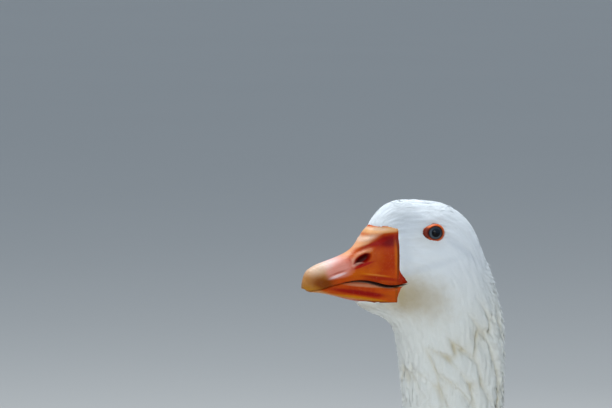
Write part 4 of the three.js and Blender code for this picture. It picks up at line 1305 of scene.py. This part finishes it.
def makeLids(side, material):
    around, profile = lid["around"], lid["profile"]
    turn = (np.arange(around) * 2 * math.pi / around)[:, None]
    share = np.linspace(0, 1, profile)
    front = np.maximum(0, -np.cos(turn))
    corner = front ** 5 * lid["corner"]
    folds = 0.16 * np.sin(turn * 23 + 1.3 * np.sin(turn * 5)) + 0.12 * np.sin(turn * 41)
    reach = lerp(lid["opening"] - 0.3, lid["opening"] + lid["width"] + 0.5, share)
    away = reach + corner * lerp(0.2, 1.0, share)
    ballHigh = math.sqrt(eye["radius"] ** 2 - reach[0] ** 2) - eye["sunk"]
    soft = np.sin(math.pi * np.clip(share * 1.08, 0, 1)) ** 0.7
    high = lerp(ballHigh, -1.6, share) + (0.25 + lid["proud"] * 1.25) * soft
    high = high + folds * soft * 0.8 - 0.25 * corner * share / 3
    points = np.stack([np.cos(turn) * away, np.sin(turn) * away * 0.94, high], -1)
    under = points[:, ::-1][:, 1:-1].copy()
    under[..., 2] = np.minimum(under[..., 2] - 1.6, -1.9)
    ring = np.concatenate([points, under], axis=1)
    columns = ring.shape[1]
    faces = gridFaces(around + 1, columns, wrap=True) % (around * columns)
    flat = ring.reshape(-1, 3)
    triangles = facedOutward(flat, np.concatenate([faces[:, [0, 1, 2]], faces[:, [0, 2, 3]]]))
    triangles = triangles[:, ::-1 if side == "right" else 1]
    piece = addPiece(f"eyelids_{side}_skin", fromEye(flat, side), triangles, material,
                     [f"eyelids_{side}"])
    across = np.tile(np.concatenate([share, share[::-1][1:-1]]), around)
    setCornerMap(piece, "lid", np.stack([across, np.repeat(front, columns)], -1)[triangles.ravel()])


studio = {"floorReach": 45.0, "floor": (0.54, 0.52, 0.49), "world": (0.53, 0.64, 0.77), "worldPower": 0.72,
          "lights": {
              # where it hangs, what it points at, size, power, colour
              "overhead": ((-0.4, 1.4, 4.4), (-0.22, 0.0, 0.75), 2.4, 205, (0.92, 0.97, 1.0)),
              "fill": ((-2.2, -3.4, 3.0), (-0.1, 0.0, 0.60), 2.2, 72, (0.88, 0.95, 1.0)),
              "low": ((-1.4, -2.6, 0.5), (-0.15, 0.0, 0.60), 1.6, 9, (1.0, 0.93, 0.82)),
              "back": ((2.4, 2.6, 1.8), (0.0, 0.0, 0.5), 1.6, 15, (1.0, 0.99, 0.97)),
          }}
view = {"azimuth": -22.0, "elevation": 6.0, "distance": 2.5, "lens": 183.8, "sensor": 36.0,
        "right": -0.087, "up": -0.004}


def makeStudio():
    disc = bpy.data.meshes.new("floor")
    work = bmesh.new()
    bmesh.ops.create_circle(work, cap_ends=True, segments=96, radius=studio["floorReach"])
    work.to_mesh(disc)
    work.free()
    material, tree, shader = newMaterial("floorPaint", {"Roughness": 0.9, "Specular IOR Level": 0.1})
    shade = noise(objectPlace(tree), 0.8)
    color = blendColor(shade, studio["floor"], tuple(c * 0.97 for c in studio["floor"]))
    feed(shader.inputs["Base Color"], color)
    disc.materials.append(material)
    addObject("floor", disc)
    world = bpy.data.worlds.new("studio")
    world.use_nodes = True
    background = world.node_tree.nodes["Background"]
    background.inputs[0].default_value = (*studio["world"], 1)
    background.inputs[1].default_value = studio["worldPower"]
    bpy.context.scene.world = world
    for name, (spot, target, size, power, color) in studio["lights"].items():
        light = bpy.data.lights.new(name, "AREA")
        light.shape = "DISK"
        light.size = size
        light.energy = power
        light.color = color
        lamp = addObject(name, light)
        lamp.location = spot
        lamp.rotation_euler = (Vector(target) - Vector(spot)).to_track_quat("-Z", "Y").to_euler()
        lamp.visible_camera = False
    bpy.context.scene.view_settings.view_transform = "Standard"


def makeCamera():
    turn, lift = view["azimuth"] * degree, view["elevation"] * degree
    right = Vector((math.cos(turn), math.sin(turn), 0))
    ahead = Vector((-math.sin(turn) * math.cos(lift), math.cos(turn) * math.cos(lift), -math.sin(lift)))
    up = right.cross(ahead)
    crown = Vector(((-33 + shiftX) * mm, 0, crownZ * mm))
    aim = crown + right * view["right"] + up * view["up"]
    data = bpy.data.cameras.new("camera")
    data.lens = view["lens"]
    data.sensor_width = view["sensor"]
    data.clip_end = 200
    camera = addObject("camera", data)
    camera.location = aim - ahead * view["distance"]
    camera.rotation_euler = ahead.to_track_quat("-Z", "Y").to_euler()
    bpy.context.scene.camera = camera


bodyCoat = {"ends": [400, 480, 560, 660, 800, 1062], "seed": 61, "width": 0.62, "ruffle": 0.9, "lean": 0.08,
            "jitter": 0.16, "camber": 0.06, "droop": 1.3, "smooth": 0.35, "breastWidth": 0.45}
tailCoverts = {"from": 930, "full": 1010, "longer": 1.6, "close": (1034, 1130), "half": 6.0,
               "wider": 1.5, "widens": (1030, 1120)}


def clearOfWing(s, turn):
    # leaves out what the folded wing hides
    share = wingShare(s, turn)
    lowest = lerp(0.92, 0.66, smoothStep(830, 930, s))
    return ~((share > 0.13) & (share < lowest) & (s > wing["from"] + 24) & (s < 1040))


def onMantle(s, turn, out=0.0):
    # over the trunk, up over the edges of the folded wing, and behind the rump closing on the tail
    points = body(s, turn, out + wingRise(s, turn))
    x, y, side = points[..., 0], points[..., 1], np.cos(turn)
    sag = tail["arch"] * y * y * np.clip((x - tail["x"]) / tail["length"], 0, 1)
    fan = tail["z"] + (x - tail["x"]) * math.tan(tail["rise"] * degree) - sag
    closed = fan + side * tailCoverts["half"] + np.tanh(3 * side) * out
    points[..., 2] = lerp(points[..., 2], closed, smoothStep(*tailCoverts["close"], s))
    points[..., 1] *= lerp(1.0, tailCoverts["wider"], smoothStep(*tailCoverts["widens"], s))
    return points


def makeBodyCoat():
    for k, _, rng, roots in bands(bodyCoat, bodyCoat["jitter"]):
        roots = keepRoots(roots, clearOfWing(roots["s"], roots["turn"]))
        width, template, nodes = bodyCoat["width"], bodyVane, []
        if k == 0:
            width, template, nodes = bodyCoat["breastWidth"], smallVane, ["trunk"]
        shape = featherShape(roots, rng, width, bodyCoat["ruffle"], bodyCoat["lean"], 0.8)
        longer = smoothStep(tailCoverts["from"], tailCoverts["full"], roots["s"])
        shape["length"] = shape["length"] * lerp(1.0, tailCoverts["longer"], longer)
        shape["low"] = shape["low"] * 0.75
        shape["tilt"] = shape["tilt"] * 0.55
        shape.update(camber=bodyCoat["camber"], droop=bodyCoat["droop"])
        layFeathers(f"plumage_body_{k + 1}", roots, shape, template, vaneMaterial, nodes, bodyCoat["smooth"],
                    onMantle)


def onWing(s, share, out=0.0):
    # a place on the left folded wing, from its distance along the bird and its share of the way down
    turn = wingTurn(s, share)
    return overBody(s, turn, out + wingRise(s, turn))


def onWingTip(s, y, out=0.0):
    # the tip of the left wing, by distance along the bird and from its middle plane; it is flat
    # towards its end and lies on the tail
    half = np.maximum(np.interp(s, alongFine, lineFine[4]) + 9, 46)
    turn = np.arcsin(np.clip(y / half, -0.97, 0.97))
    points = overBody(s, turn, out + wingRise(s, turn))
    points[..., 1] = -y - out * 0.3 * np.sin(turn)
    lowered = lerp(3.0, 6.5, smoothStep(1010, 1120, s))
    roof = np.interp(s, alongFine, lineFine[1]) - lowered + 0.7 * out - 0.14 * np.abs(y)
    points[..., 2] = lerp(points[..., 2], roof, smoothStep(940, 1080, s))
    return points


def quillWidths(pointed, root=0.55):
    alongs = np.array([0.02, 0.12, 0.24, 0.36, 0.48, 0.6, 0.7, 0.79, 0.87, 0.93, 0.97, 0.99])
    widths = lerp(root, 1.0, smoothStep(0, 0.4, alongs)) * (1 - alongs ** pointed) ** 0.5
    return vaneTemplate(alongs, widths, 6)


broadQuill = quillWidths(9)
longQuill = quillWidths(5)
covertVane = vaneTemplate([0.06, 0.2, 0.36, 0.52, 0.67, 0.8, 0.9, 0.96],
                          [0.4, 0.66, 0.85, 0.97, 1, 0.9, 0.68, 0.42], 6)

# Each tract: rows from and to along the bird, shares of the way down, number of rows and of feathers
# in each, length and width at its two ends, and how its feathers lie above the wing.
wingTracts = {
    "lesser": {"s": (470, 606), "share": (0.02, 0.99), "rows": 11, "count": 17, "length": (25, 40),
               "width": (20, 27), "low": -1.9, "high": 0.7, "tilt": 0.0, "droop": 0.9, "vane": covertVane},
    "median": {"s": (612, 636), "share": (0.30, 0.99), "rows": 2, "count": 13, "length": (52, 60),
               "width": (28, 30), "low": -2.0, "high": 1.0, "tilt": 0.015, "droop": 1.2, "vane": covertVane},
    "greater": {"s": (664, 672), "share": (0.31, 0.99), "rows": 1, "count": 14, "length": (82, 82),
                "width": (30, 30), "low": -2.2, "high": 0.6, "tilt": 0.03, "droop": 1.3, "vane": covertVane},
    "secondaries": {"s": (690, 700), "share": (0.33, 0.985), "rows": 1, "count": 14,
                    "length": (245, 245), "width": (30, 30), "low": -3.0, "high": -1.2, "tilt": 0.07,
                    "droop": 1.0, "vane": broadQuill},
    "tertials": {"s": (700, 735), "share": (0.07, 0.36), "rows": 1, "count": 6, "length": (206, 206),
                 "width": (44, 44), "low": -2.0, "high": 0.4, "tilt": 0.01, "droop": 5.0, "vane": broadQuill},
    "scapulars": {"s": (494, 742), "share": (-0.03, 0.34), "rows": 14, "count": 7, "length": (32, 96),
                  "width": (24, 44), "low": -1.6, "high": 1.8, "tilt": 0.01, "droop": 1.7,
                  "vane": covertVane},
}
primaries = {"count": 9, "tips": (968, 1130), "root": (32, 56), "tipAside": (17, 20), "length": 265,
             "width": (32, 21), "low": -4.5, "high": -1.5}


def tractRoots(tract, rng):
    rows, count = tract["rows"], tract["count"]
    i, j = np.divmod(np.arange(rows * count), count)
    a, b = i / max(rows - 1, 1), (j + 0.5 * (i % 2)) / count
    if rows == 1:
        a = b = j / (count - 1)
    s = lerp(*tract["s"], a) + rng.normal(0, 1.2, len(i))
    share = lerp(*tract["share"], b) + rng.normal(0, 0.004, len(i))
    return {"s": s, "turn": share, "u": (i + 0.5) / rows, "v": (j + 0.5) / count}, a, b


def makeWings():
    names = ["shoulder", "secondaries", "primaries", "scapulars"]
    nodes = [f"wing_{side}_{name}" for side in ("left", "right") for name in names]
    for number, (name, tract) in enumerate(wingTracts.items()):
        rng = np.random.default_rng(300 + number)
        roots, a, b = tractRoots(tract, rng)
        count = len(a)
        size = 0.84 + 0.16 * np.sin(math.pi * np.clip(b, 0, 1))
        length = lerp(*tract["length"], a)
        uneven = size * rng.uniform(0.95, 1.05, count)
        shape = {
            "length": length * (lerp(1.0, 0.8, b) if name == "secondaries" else uneven),
            "width": lerp(*tract["width"], a) * rng.uniform(0.94, 1.06, count),
            "lean": rng.normal(0, 0.035, count), "bend": rng.normal(0, 0.012, count),
            "low": tract["low"], "high": tract["high"] + rng.normal(0, 0.25, count),
            "camber": 0.045, "tilt": tract["tilt"] + rng.normal(0, 0.01, count),
            "power": 0.85, "droop": tract["droop"],
        }
        material = quillMaterial if tract["vane"] is broadQuill else vaneMaterial
        used = nodes if name == "lesser" else []
        layFeathers(f"wing_{name}", roots, shape, tract["vane"], material, used, 0.1, onWing, True)
    makePrimaries()


def makePrimaries():
    rng = np.random.default_rng(330)
    count = primaries["count"]
    k = np.arange(count) / (count - 1)
    tips = lerp(*primaries["tips"], k)
    aside = lerp(*primaries["root"], k)
    length = primaries["length"]
    lean = -np.arcsin((aside - lerp(*primaries["tipAside"], k)) / length)
    # each starts where its length brings its tip to its place
    trial = np.arange(740.0, 960.0)[:, None]
    ends = trial + length * np.cos(lean) / surfaceScale(trial, aside, onWingTip)[0]
    start = np.array([np.interp(tips[n], ends[:, n], trial[:, 0]) for n in range(count)])
    roots = {"s": start, "turn": aside, "u": k, "v": np.full(count, 0.5)}
    shape = {
        "length": length, "width": lerp(*primaries["width"], k), "lean": lean + rng.normal(0, 0.004, count),
        "low": primaries["low"] - k * 1.5, "high": primaries["high"] - k * 2.2,
        "camber": 0.05, "tilt": 0.05, "power": 1.0, "droop": 2.0,
    }
    layFeathers("wing_primaries", roots, shape, longQuill, quillMaterial, [], 0.1, onWingTip, True)


# Coverts: rows, feathers in each, where the first and last row start, how far aside these reach.
tail = {"length": 128, "rise": 13, "x": 462, "z": 346, "arch": 0.0016, "count": 16, "half": 29,
        "spread": 12.5, "width": 25, "root": -22,
        "rows": 5, "row": 7, "start": (-34, 6), "aside": (26, 33), "longest": {"upper": 84, "under": 80}}


def onTail(a, y, out=0.0):
    # a place on the fan of the tail: a along it, y across it
    rise = tail["rise"] * degree
    sag = tail["arch"] * y * y * np.clip(a / tail["length"], 0, 1)
    a = a + 0 * y + 0 * out
    return np.stack([tail["x"] + a * math.cos(rise) - out * math.sin(rise), y + 0 * a,
                     tail["z"] + a * math.sin(rise) - sag + out * math.cos(rise)], -1)


def makeTail():
    half = tail["count"] // 2
    k = (np.arange(half) + 0.5) / half
    rng = np.random.default_rng(350)
    roots = {"s": np.full(half, float(tail["root"])), "turn": -k * tail["half"], "u": k,
             "v": np.full(half, 0.4)}
    shape = {
        "length": tail["length"] * (1 - 0.10 * k ** 2) - tail["root"] - 1.5, "width": tail["width"],
        "lean": -k * tail["spread"] * degree + rng.normal(0, 0.006, half),
        "low": 1.0 - 3.0 * k, "high": 3.0 - 5.0 * k, "camber": 0.04, "tilt": 0.11, "power": 1.0,
    }
    layFeathers("tail_quills", roots, shape, broadQuill, quillMaterial, ["tail"], 0.1, onTail, True)
    rows, row = tail["rows"], tail["row"]
    for number, (name, longest) in enumerate(tail["longest"].items()):
        rng = np.random.default_rng(360 + number)
        side = 1 - 2 * number
        i, j = np.divmod(np.arange(rows * row), row)
        i, j = i / (rows - 1), (j + 0.5 * (i % 2)) / row
        count = len(i)
        roots = {"s": lerp(*tail["start"], i), "turn": -j * lerp(*tail["aside"], i) - 2,
                 "u": (i * (rows - 1) + 0.5) / rows, "v": (j * row + 0.25) / (row + 0.5)}
        shape = {
            "length": lerp(longest * 0.75, longest, i) * (1 - 0.25 * j) * rng.uniform(0.92, 1.06, count),
            "width": rng.uniform(22, 28, count), "lean": -j * 0.2 + rng.normal(0, 0.05, count),
            "bend": rng.normal(0, 0.02, count),
            "low": side * (lerp(11, 6, i) - 4 * j), "high": side * (lerp(7, 3, i) - 3.0 * j + 0.6),
            "camber": 0.05 * side, "tilt": side * rng.normal(0.02, 0.02, count), "power": 0.8,
            "droop": side * 1.5,
        }
        layFeathers(f"tail_coverts_{name}", roots, shape, covertVane, vaneMaterial, [], 0.3, onTail, True)


leg = {"hip": 58, "footX": 190, "ankleZ": 12, "hockX": 216, "hockZ": 112, "padZ": 8.4, "toeIn": 5}
thighRows = np.array([
    # x, y, z, half across, half deep; the last is the cuff of feathers over the shank
    (172, -44, 250, 34, 44), (181, -52, 224, 38, 48), (190, -58, 192, 35, 45), (200, -60.5, 161, 26, 33),
    (209, -59.5, 137, 17.5, 21), (214.8, -58, 120, 12.6, 13.6), (216.4, -58, 111.5, 11.2, 12.6),
    (213.2, -58, 100.5, 9.8, 11.8),
], float)
thighAlong = np.concatenate([[0], np.cumsum(np.linalg.norm(np.diff(thighRows[:, :3], axis=0), axis=1))])
thighFine = [splineThrough(thighAlong, thighRows[:, k]) for k in range(5)]


def onThigh(a, turn, out=0.0):
    # turn goes round the thigh from its outer side
    a = np.clip(a, -5, thighAlong[-1])
    x, y, z, across, deep = (row(a) for row in thighFine)
    ahead = unit(np.stack([thighFine[k](a + 0.5) - thighFine[k](a - 0.5) for k in range(3)], -1))
    side = np.zeros(ahead.shape)
    side[..., 1] = -1
    side = unit(side - ahead * (ahead * side).sum(-1, keepdims=True))
    outward = side * ((across + out) * np.cos(turn))[..., None]
    forward = np.cross(ahead, side) * ((deep + out) * np.sin(turn))[..., None]
    return np.stack([x, y, z], -1) + outward + forward


thigh = {"rings": 40, "count": 700, "seed": 400, "from": 26, "length": (34, 12), "width": 0.55,
         "low": (-4.5, -0.8), "camber": 0.06, "droop": 0.8}


def thighSolid(inset):
    rings = thigh["rings"]
    a, turn = np.meshgrid(np.linspace(0, thighAlong[-2], rings), np.arange(rings) * 2 * math.pi / rings,
                          indexing="ij")
    return tubeShell(onThigh(a, turn, -inset * lerp(1, 0.5, a / thighAlong[-2])))


def makeThighCoat():
    count = thigh["count"]
    rng = np.random.default_rng(thigh["seed"])
    u, v = goldenPlaces(count, 7)
    a = lerp(thigh["from"], thighAlong[-2] - 1, u ** 0.8)
    roots = {"s": a, "turn": v * 2 * math.pi, "u": u, "v": v}
    length = lerp(*thigh["length"], smoothStep(30, thighAlong[-2], a)) * rng.uniform(0.85, 1.1, count)
    shape = {
        "length": length, "width": length * thigh["width"], "lean": rng.normal(0, 0.12, count),
        "bend": rng.normal(0, 0.04, count), "low": lerp(*thigh["low"], u), "high": rng.normal(0, 0.5, count),
        "camber": thigh["camber"], "tilt": rng.normal(0, 0.05, count), "power": 0.7, "droop": thigh["droop"],
    }
    layFeathers("plumage_thighs", roots, shape, bodyVane, vaneMaterial, [], 0.4, onThigh, True)


# Toes: bearing, length and number of joints.
toes = {"inner": (-30, 70, 2), "middle": (-1, 90, 3), "outer": (28, 84, 4)}
footShape = {"voxel": 0.00075, "smooth": 5, "webTop": 3.4, "webSag": 1.5, "webThick": 1.7,
             "pad": (11.4, 11, 8.2), "flat": 0.88, "lowest": 0.0002}


def ovalTube(path, across, deep, sideways, turns=26):
    # rings of an oval along a path, as wide as across in the sideways direction
    ahead = unit(np.gradient(path, axis=0))
    sideways = np.asarray(sideways, float)
    sideways = unit(sideways - ahead * (ahead @ sideways)[:, None])
    upward = np.cross(ahead, sideways)
    turn = (np.arange(turns) * 2 * math.pi / turns)[None, :, None]
    ring = sideways[:, None] * np.cos(turn) * across[:, None, None]
    return path[:, None] + ring + upward[:, None] * np.sin(turn) * deep[:, None, None]


def toeLine(name):
    bearing, length, joints = toes[name]
    turn = (bearing - leg["toeIn"]) * degree
    ahead = np.array([-math.cos(turn), -math.sin(turn), 0])
    share = np.linspace(0, 1, 60)
    reach = 2 + (length - 2) * share
    knuckle = 0.95 * np.cos(math.pi * joints * share) ** 4
    thick = 5.9 - 2.9 * share + knuckle * (1 - 0.5 * share)
    path = np.array([leg["footX"], -leg["hip"], 0]) + reach[:, None] * ahead
    path[:, 2] = thick * footShape["flat"]
    return path, thick, ahead


def shankLine():
    top = np.array([leg["hockX"], -leg["hip"], leg["hockZ"]], float)
    foot = np.array([leg["footX"], -leg["hip"], leg["ankleZ"]], float)
    knots = [-0.10, 0, 0.12, 0.28, 0.6, 0.82, 0.93, 1.03]
    across = splineThrough(knots, [7.6, 9.0, 8.2, 6.2, 5.7, 6.6, 8.4, 8.6])
    deep = splineThrough(knots, [8.0, 9.6, 9.4, 7.4, 6.6, 7.2, 8.4, 8.6])
    share = np.linspace(knots[0], knots[-1], 70)
    return lerp(top, foot, share[:, None]), across(share), deep(share)


def hindLine():
    knots = np.array([(193, -57, 24, 4.6), (201, -56, 16.5, 4.4), (207, -55, 9.5, 3.9), (212, -54, 4.7, 2.9)])
    way = np.linspace(0, 3, 24)
    rows = [splineThrough([0, 1, 2, 3], knots[:, k])(way) for k in range(4)]
    return np.stack(rows[:3], -1), rows[3]


def webSolid(first, second):
    pathA, _, aheadA = toeLine(first)
    pathB, _, aheadB = toeLine(second)
    root = np.array([leg["footX"] + 2, -leg["hip"], 0])
    start, end = pathA[-1] - aheadA * 3, pathB[-1] - aheadB * 3
    pull = lerp((start + end) / 2, root, 0.22)
    q, p = np.meshgrid(np.linspace(0, 1, 40), np.linspace(0.03, 1, 40), indexing="ij")
    edge = ((1 - q) ** 2)[..., None] * start + (2 * q * (1 - q))[..., None] * pull + (q ** 2)[..., None] * end
    sheet = lerp(root, edge, p[..., None])
    pleat = 0.35 * np.sin(q * 26 + 2.2 * np.sin(p * 5)) * p * np.sin(math.pi * q)
    sheet[..., 2] = footShape["webTop"] - footShape["webSag"] * np.sin(math.pi * q) ** 0.6 + pleat
    under = sheet[:, ::-1].copy()
    under[..., 2] -= (footShape["webThick"] * (1 - 0.35 * p ** 6))[:, ::-1]
    return tubeShell(np.concatenate([sheet, under], axis=1))


def makeFootSkin():
    shells = [ovalTube(*shankLine(), (0, 1, 0))]
    for name in toes:
        path, thick, ahead = toeLine(name)
        shells.append(ovalTube(path, thick, thick * footShape["flat"], (-ahead[1], ahead[0], 0)))
    hind, hindThick = hindLine()
    shells.append(ovalTube(hind, hindThick, hindThick, (0, 1, 0)))
    turn = np.linspace(0.05, math.pi - 0.05, 16)
    long, across, deep = footShape["pad"]
    pad = np.array([leg["footX"], -leg["hip"], leg["padZ"]]) + np.outer(-long * np.cos(turn), (1, 0, 0))
    shells.append(ovalTube(pad, across * np.sin(turn), deep * np.sin(turn), (0, 1, 0)))
    shells = [tubeShell(shell) for shell in shells]
    shells += [webSolid("inner", "middle"), webSolid("middle", "outer")]
    points = np.concatenate([part for part, _ in shells])
    starts = np.cumsum([0] + [len(part) for part, _ in shells[:-1]])
    faces = np.concatenate([part + start for (_, part), start in zip(shells, starts)])
    # the shells are joined into one skin and softened where they meet
    mesh = bpy.data.meshes.new("foot_shells")
    mesh.from_pydata(toFrame(points).tolist(), [], faces.tolist())
    rough = addObject("foot_shells", mesh)
    joined = rough.modifiers.new("join", "REMESH")
    joined.mode, joined.voxel_size = "VOXEL", footShape["voxel"]
    softened = rough.modifiers.new("soften", "SMOOTH")
    softened.factor, softened.iterations = 0.5, footShape["smooth"]
    made = rough.evaluated_get(bpy.context.evaluated_depsgraph_get()).to_mesh()
    places = np.empty(len(made.vertices) * 3, np.float32)
    made.vertices.foreach_get("co", places)
    quads = np.array([tuple(face.vertices) for face in made.polygons], np.int32)
    bpy.data.objects.remove(rough)
    return places.reshape(-1, 3).astype(float), quads


def fromFrame(points):
    return points / mm - (shiftX, 0, 0)


def footMarks(points):
    # for each place on the foot: how far along its toe or shank, how much on top of it, and on a web
    best = np.full(len(points), 1e9)
    along, top, web = np.zeros(len(points)), np.zeros(len(points)), np.ones(len(points))
    lines = [toeLine(name)[:2] for name in toes] + [hindLine(), shankLine()[:2]]
    for number, (path, thick) in enumerate(lines):
        steps = np.concatenate([[0], np.cumsum(np.linalg.norm(np.diff(path, axis=0), axis=1))])
        gaps = np.linalg.norm(points[:, None, :] - path[None], axis=-1)
        near = gaps.argmin(1)
        share = gaps[np.arange(len(points)), near] / thick[near]
        closer = share < best
        way = points - path[near]
        up = -way[:, 0] * 0.97 + way[:, 2] * 0.25 if number == 4 else way[:, 2]
        best = np.where(closer, share, best)
        along = np.where(closer, steps[near] + number * 7.3, along)
        top = np.where(closer, smoothStep(0.15, 0.6, up / thick[near]), top)
        web = np.where(closer, smoothStep(1.12, 1.7, share), web)
    return {"along": along, "top": top * (1 - web), "web": web}


footLooks = {"Roughness": 0.5, "Specular IOR Level": 0.38, "Subsurface Weight": 0.08,
             "Subsurface Scale": 0.002, "Subsurface Radius": (1.0, 0.35, 0.15)}
clawLooks = {"Roughness": 0.4, "Specular IOR Level": 0.45, "Subsurface Weight": 0.1,
             "Subsurface Scale": 0.001}


def blendValue(factor, a, b):
    inputs = {0: factor, 2: a, 3: b}
    return addNode(treeOf(factor), "ShaderNodeMix", inputs, data_type="FLOAT").outputs[0]


def makeFootMaterial():
    material, tree, shader = newMaterial("footSkin", footLooks)
    finish = useGroup(tree, bareSkin, {"Pores": 900.0, "Creases": 260.0})
    along, top, web = (pointValue(tree, name) for name in ("along", "top", "web"))
    where = objectPlace(tree)
    coarse = remap(cells(where, 520.0, "DISTANCE_TO_EDGE", 0.7), 0.0, 0.22)
    fine = remap(cells(where, 950.0, "DISTANCE_TO_EDGE", 0.8), 0.0, 0.2)
    pitch = calculate("FRACT", calculate("DIVIDE", along, 3.1))
    scute = times(remap(pitch, 0.0, 0.16), remap(pitch, 1.0, 0.72))
    height = blendValue(top, blendValue(web, coarse, fine), scute)
    color = blendColor(finish["Mottle"], (0.66, 0.185, 0.022), (0.55, 0.125, 0.014))
    color = tinted(color, (0.62, 0.13, 0.02), web, 0.55)
    color = tinted(color, (0.33, 0.085, 0.018), minus(1.0, height), 0.6)
    color = tinted(color, (0.56, 0.30, 0.13), remap(noise(where, 60.0, 4.0), 0.45, 0.75), 0.35)
    feed(shader.inputs["Base Color"], color)
    setBump(shader, height, 0.7, 0.00035)
    return material


# Claws: radius at the root and length, then where the hind one is and which way it points.
claw = {"front": (2.9, 11.2), "hind": (2.3, 7.2), "hindAt": (212.4, -53.9, 1.4),
        "hindAhead": (0.72, 0.12, -0.1), "lowest": 0.25}


def clawTube(tip, ahead, base, length):
    share = np.linspace(0, 1, 18)
    path = tip + ahead * (share * length - 1.2)[:, None]
    path[:, 2] = tip[2] + base * 1.25 - 2.1 * share ** 2
    thick = base * np.sqrt(1 - share * 0.97)
    rings = ovalTube(path, thick * 0.86, thick * 0.95, (-ahead[1], ahead[0], 0), 16)
    rings[..., 2] = np.maximum(rings[..., 2], claw["lowest"])
    return rings


def makeLegs():
    material = makeFootMaterial()
    clawMaterial = plainMaterial("clawHorn", (0.52, 0.36, 0.24), clawLooks, 0.25, 0.0002, 700.0,
                                 (0.36, 0.22, 0.13))
    places, quads = makeFootSkin()
    marks = footMarks(fromFrame(places))
    places[:, 2] = np.maximum(places[:, 2], footShape["lowest"])
    claws = {}
    for name in toes:
        path, _, ahead = toeLine(name)
        claws[name] = clawTube(path[-1] * (1, 1, 0), ahead, *claw["front"])
    claws["hind"] = clawTube(np.array(claw["hindAt"]), unit(np.array(claw["hindAhead"])), *claw["hind"])
    parts = ["shank", "toe_inner", "toe_middle", "toe_outer", "toe_hind", "web_inner", "web_outer"]
    for side, sign in (("left", 1), ("right", -1)):
        nodes = [f"leg_{side}_{part}" for part in parts]
        foot = addPiece(f"foot_{side}", fromFrame(places) * (1, sign, 1), quads[:, ::sign], material,
                        nodes)
        for name, values in marks.items():
            setPointValues(foot, name, values)
        for name, rings in claws.items():
            closedTube(f"claw_{side}_{name}", rings * (1, sign, 1), clawMaterial,
                       [f"leg_{side}_claw_{name}"])


makeStudio()
makeCamera()
print("studio and camera made")
makeSkin()
print("skin made")
makeBill()
makeEyes()
print("bill and eyes made")
makeHeadCoat()
makeNeckCoat()
print("head and neck feathers made")
makeBodyCoat()
makeThighCoat()
print("body and thigh feathers made")
makeWings()
makeTail()
print("wings and tail made")
makeLegs()
print("legs and feet made")
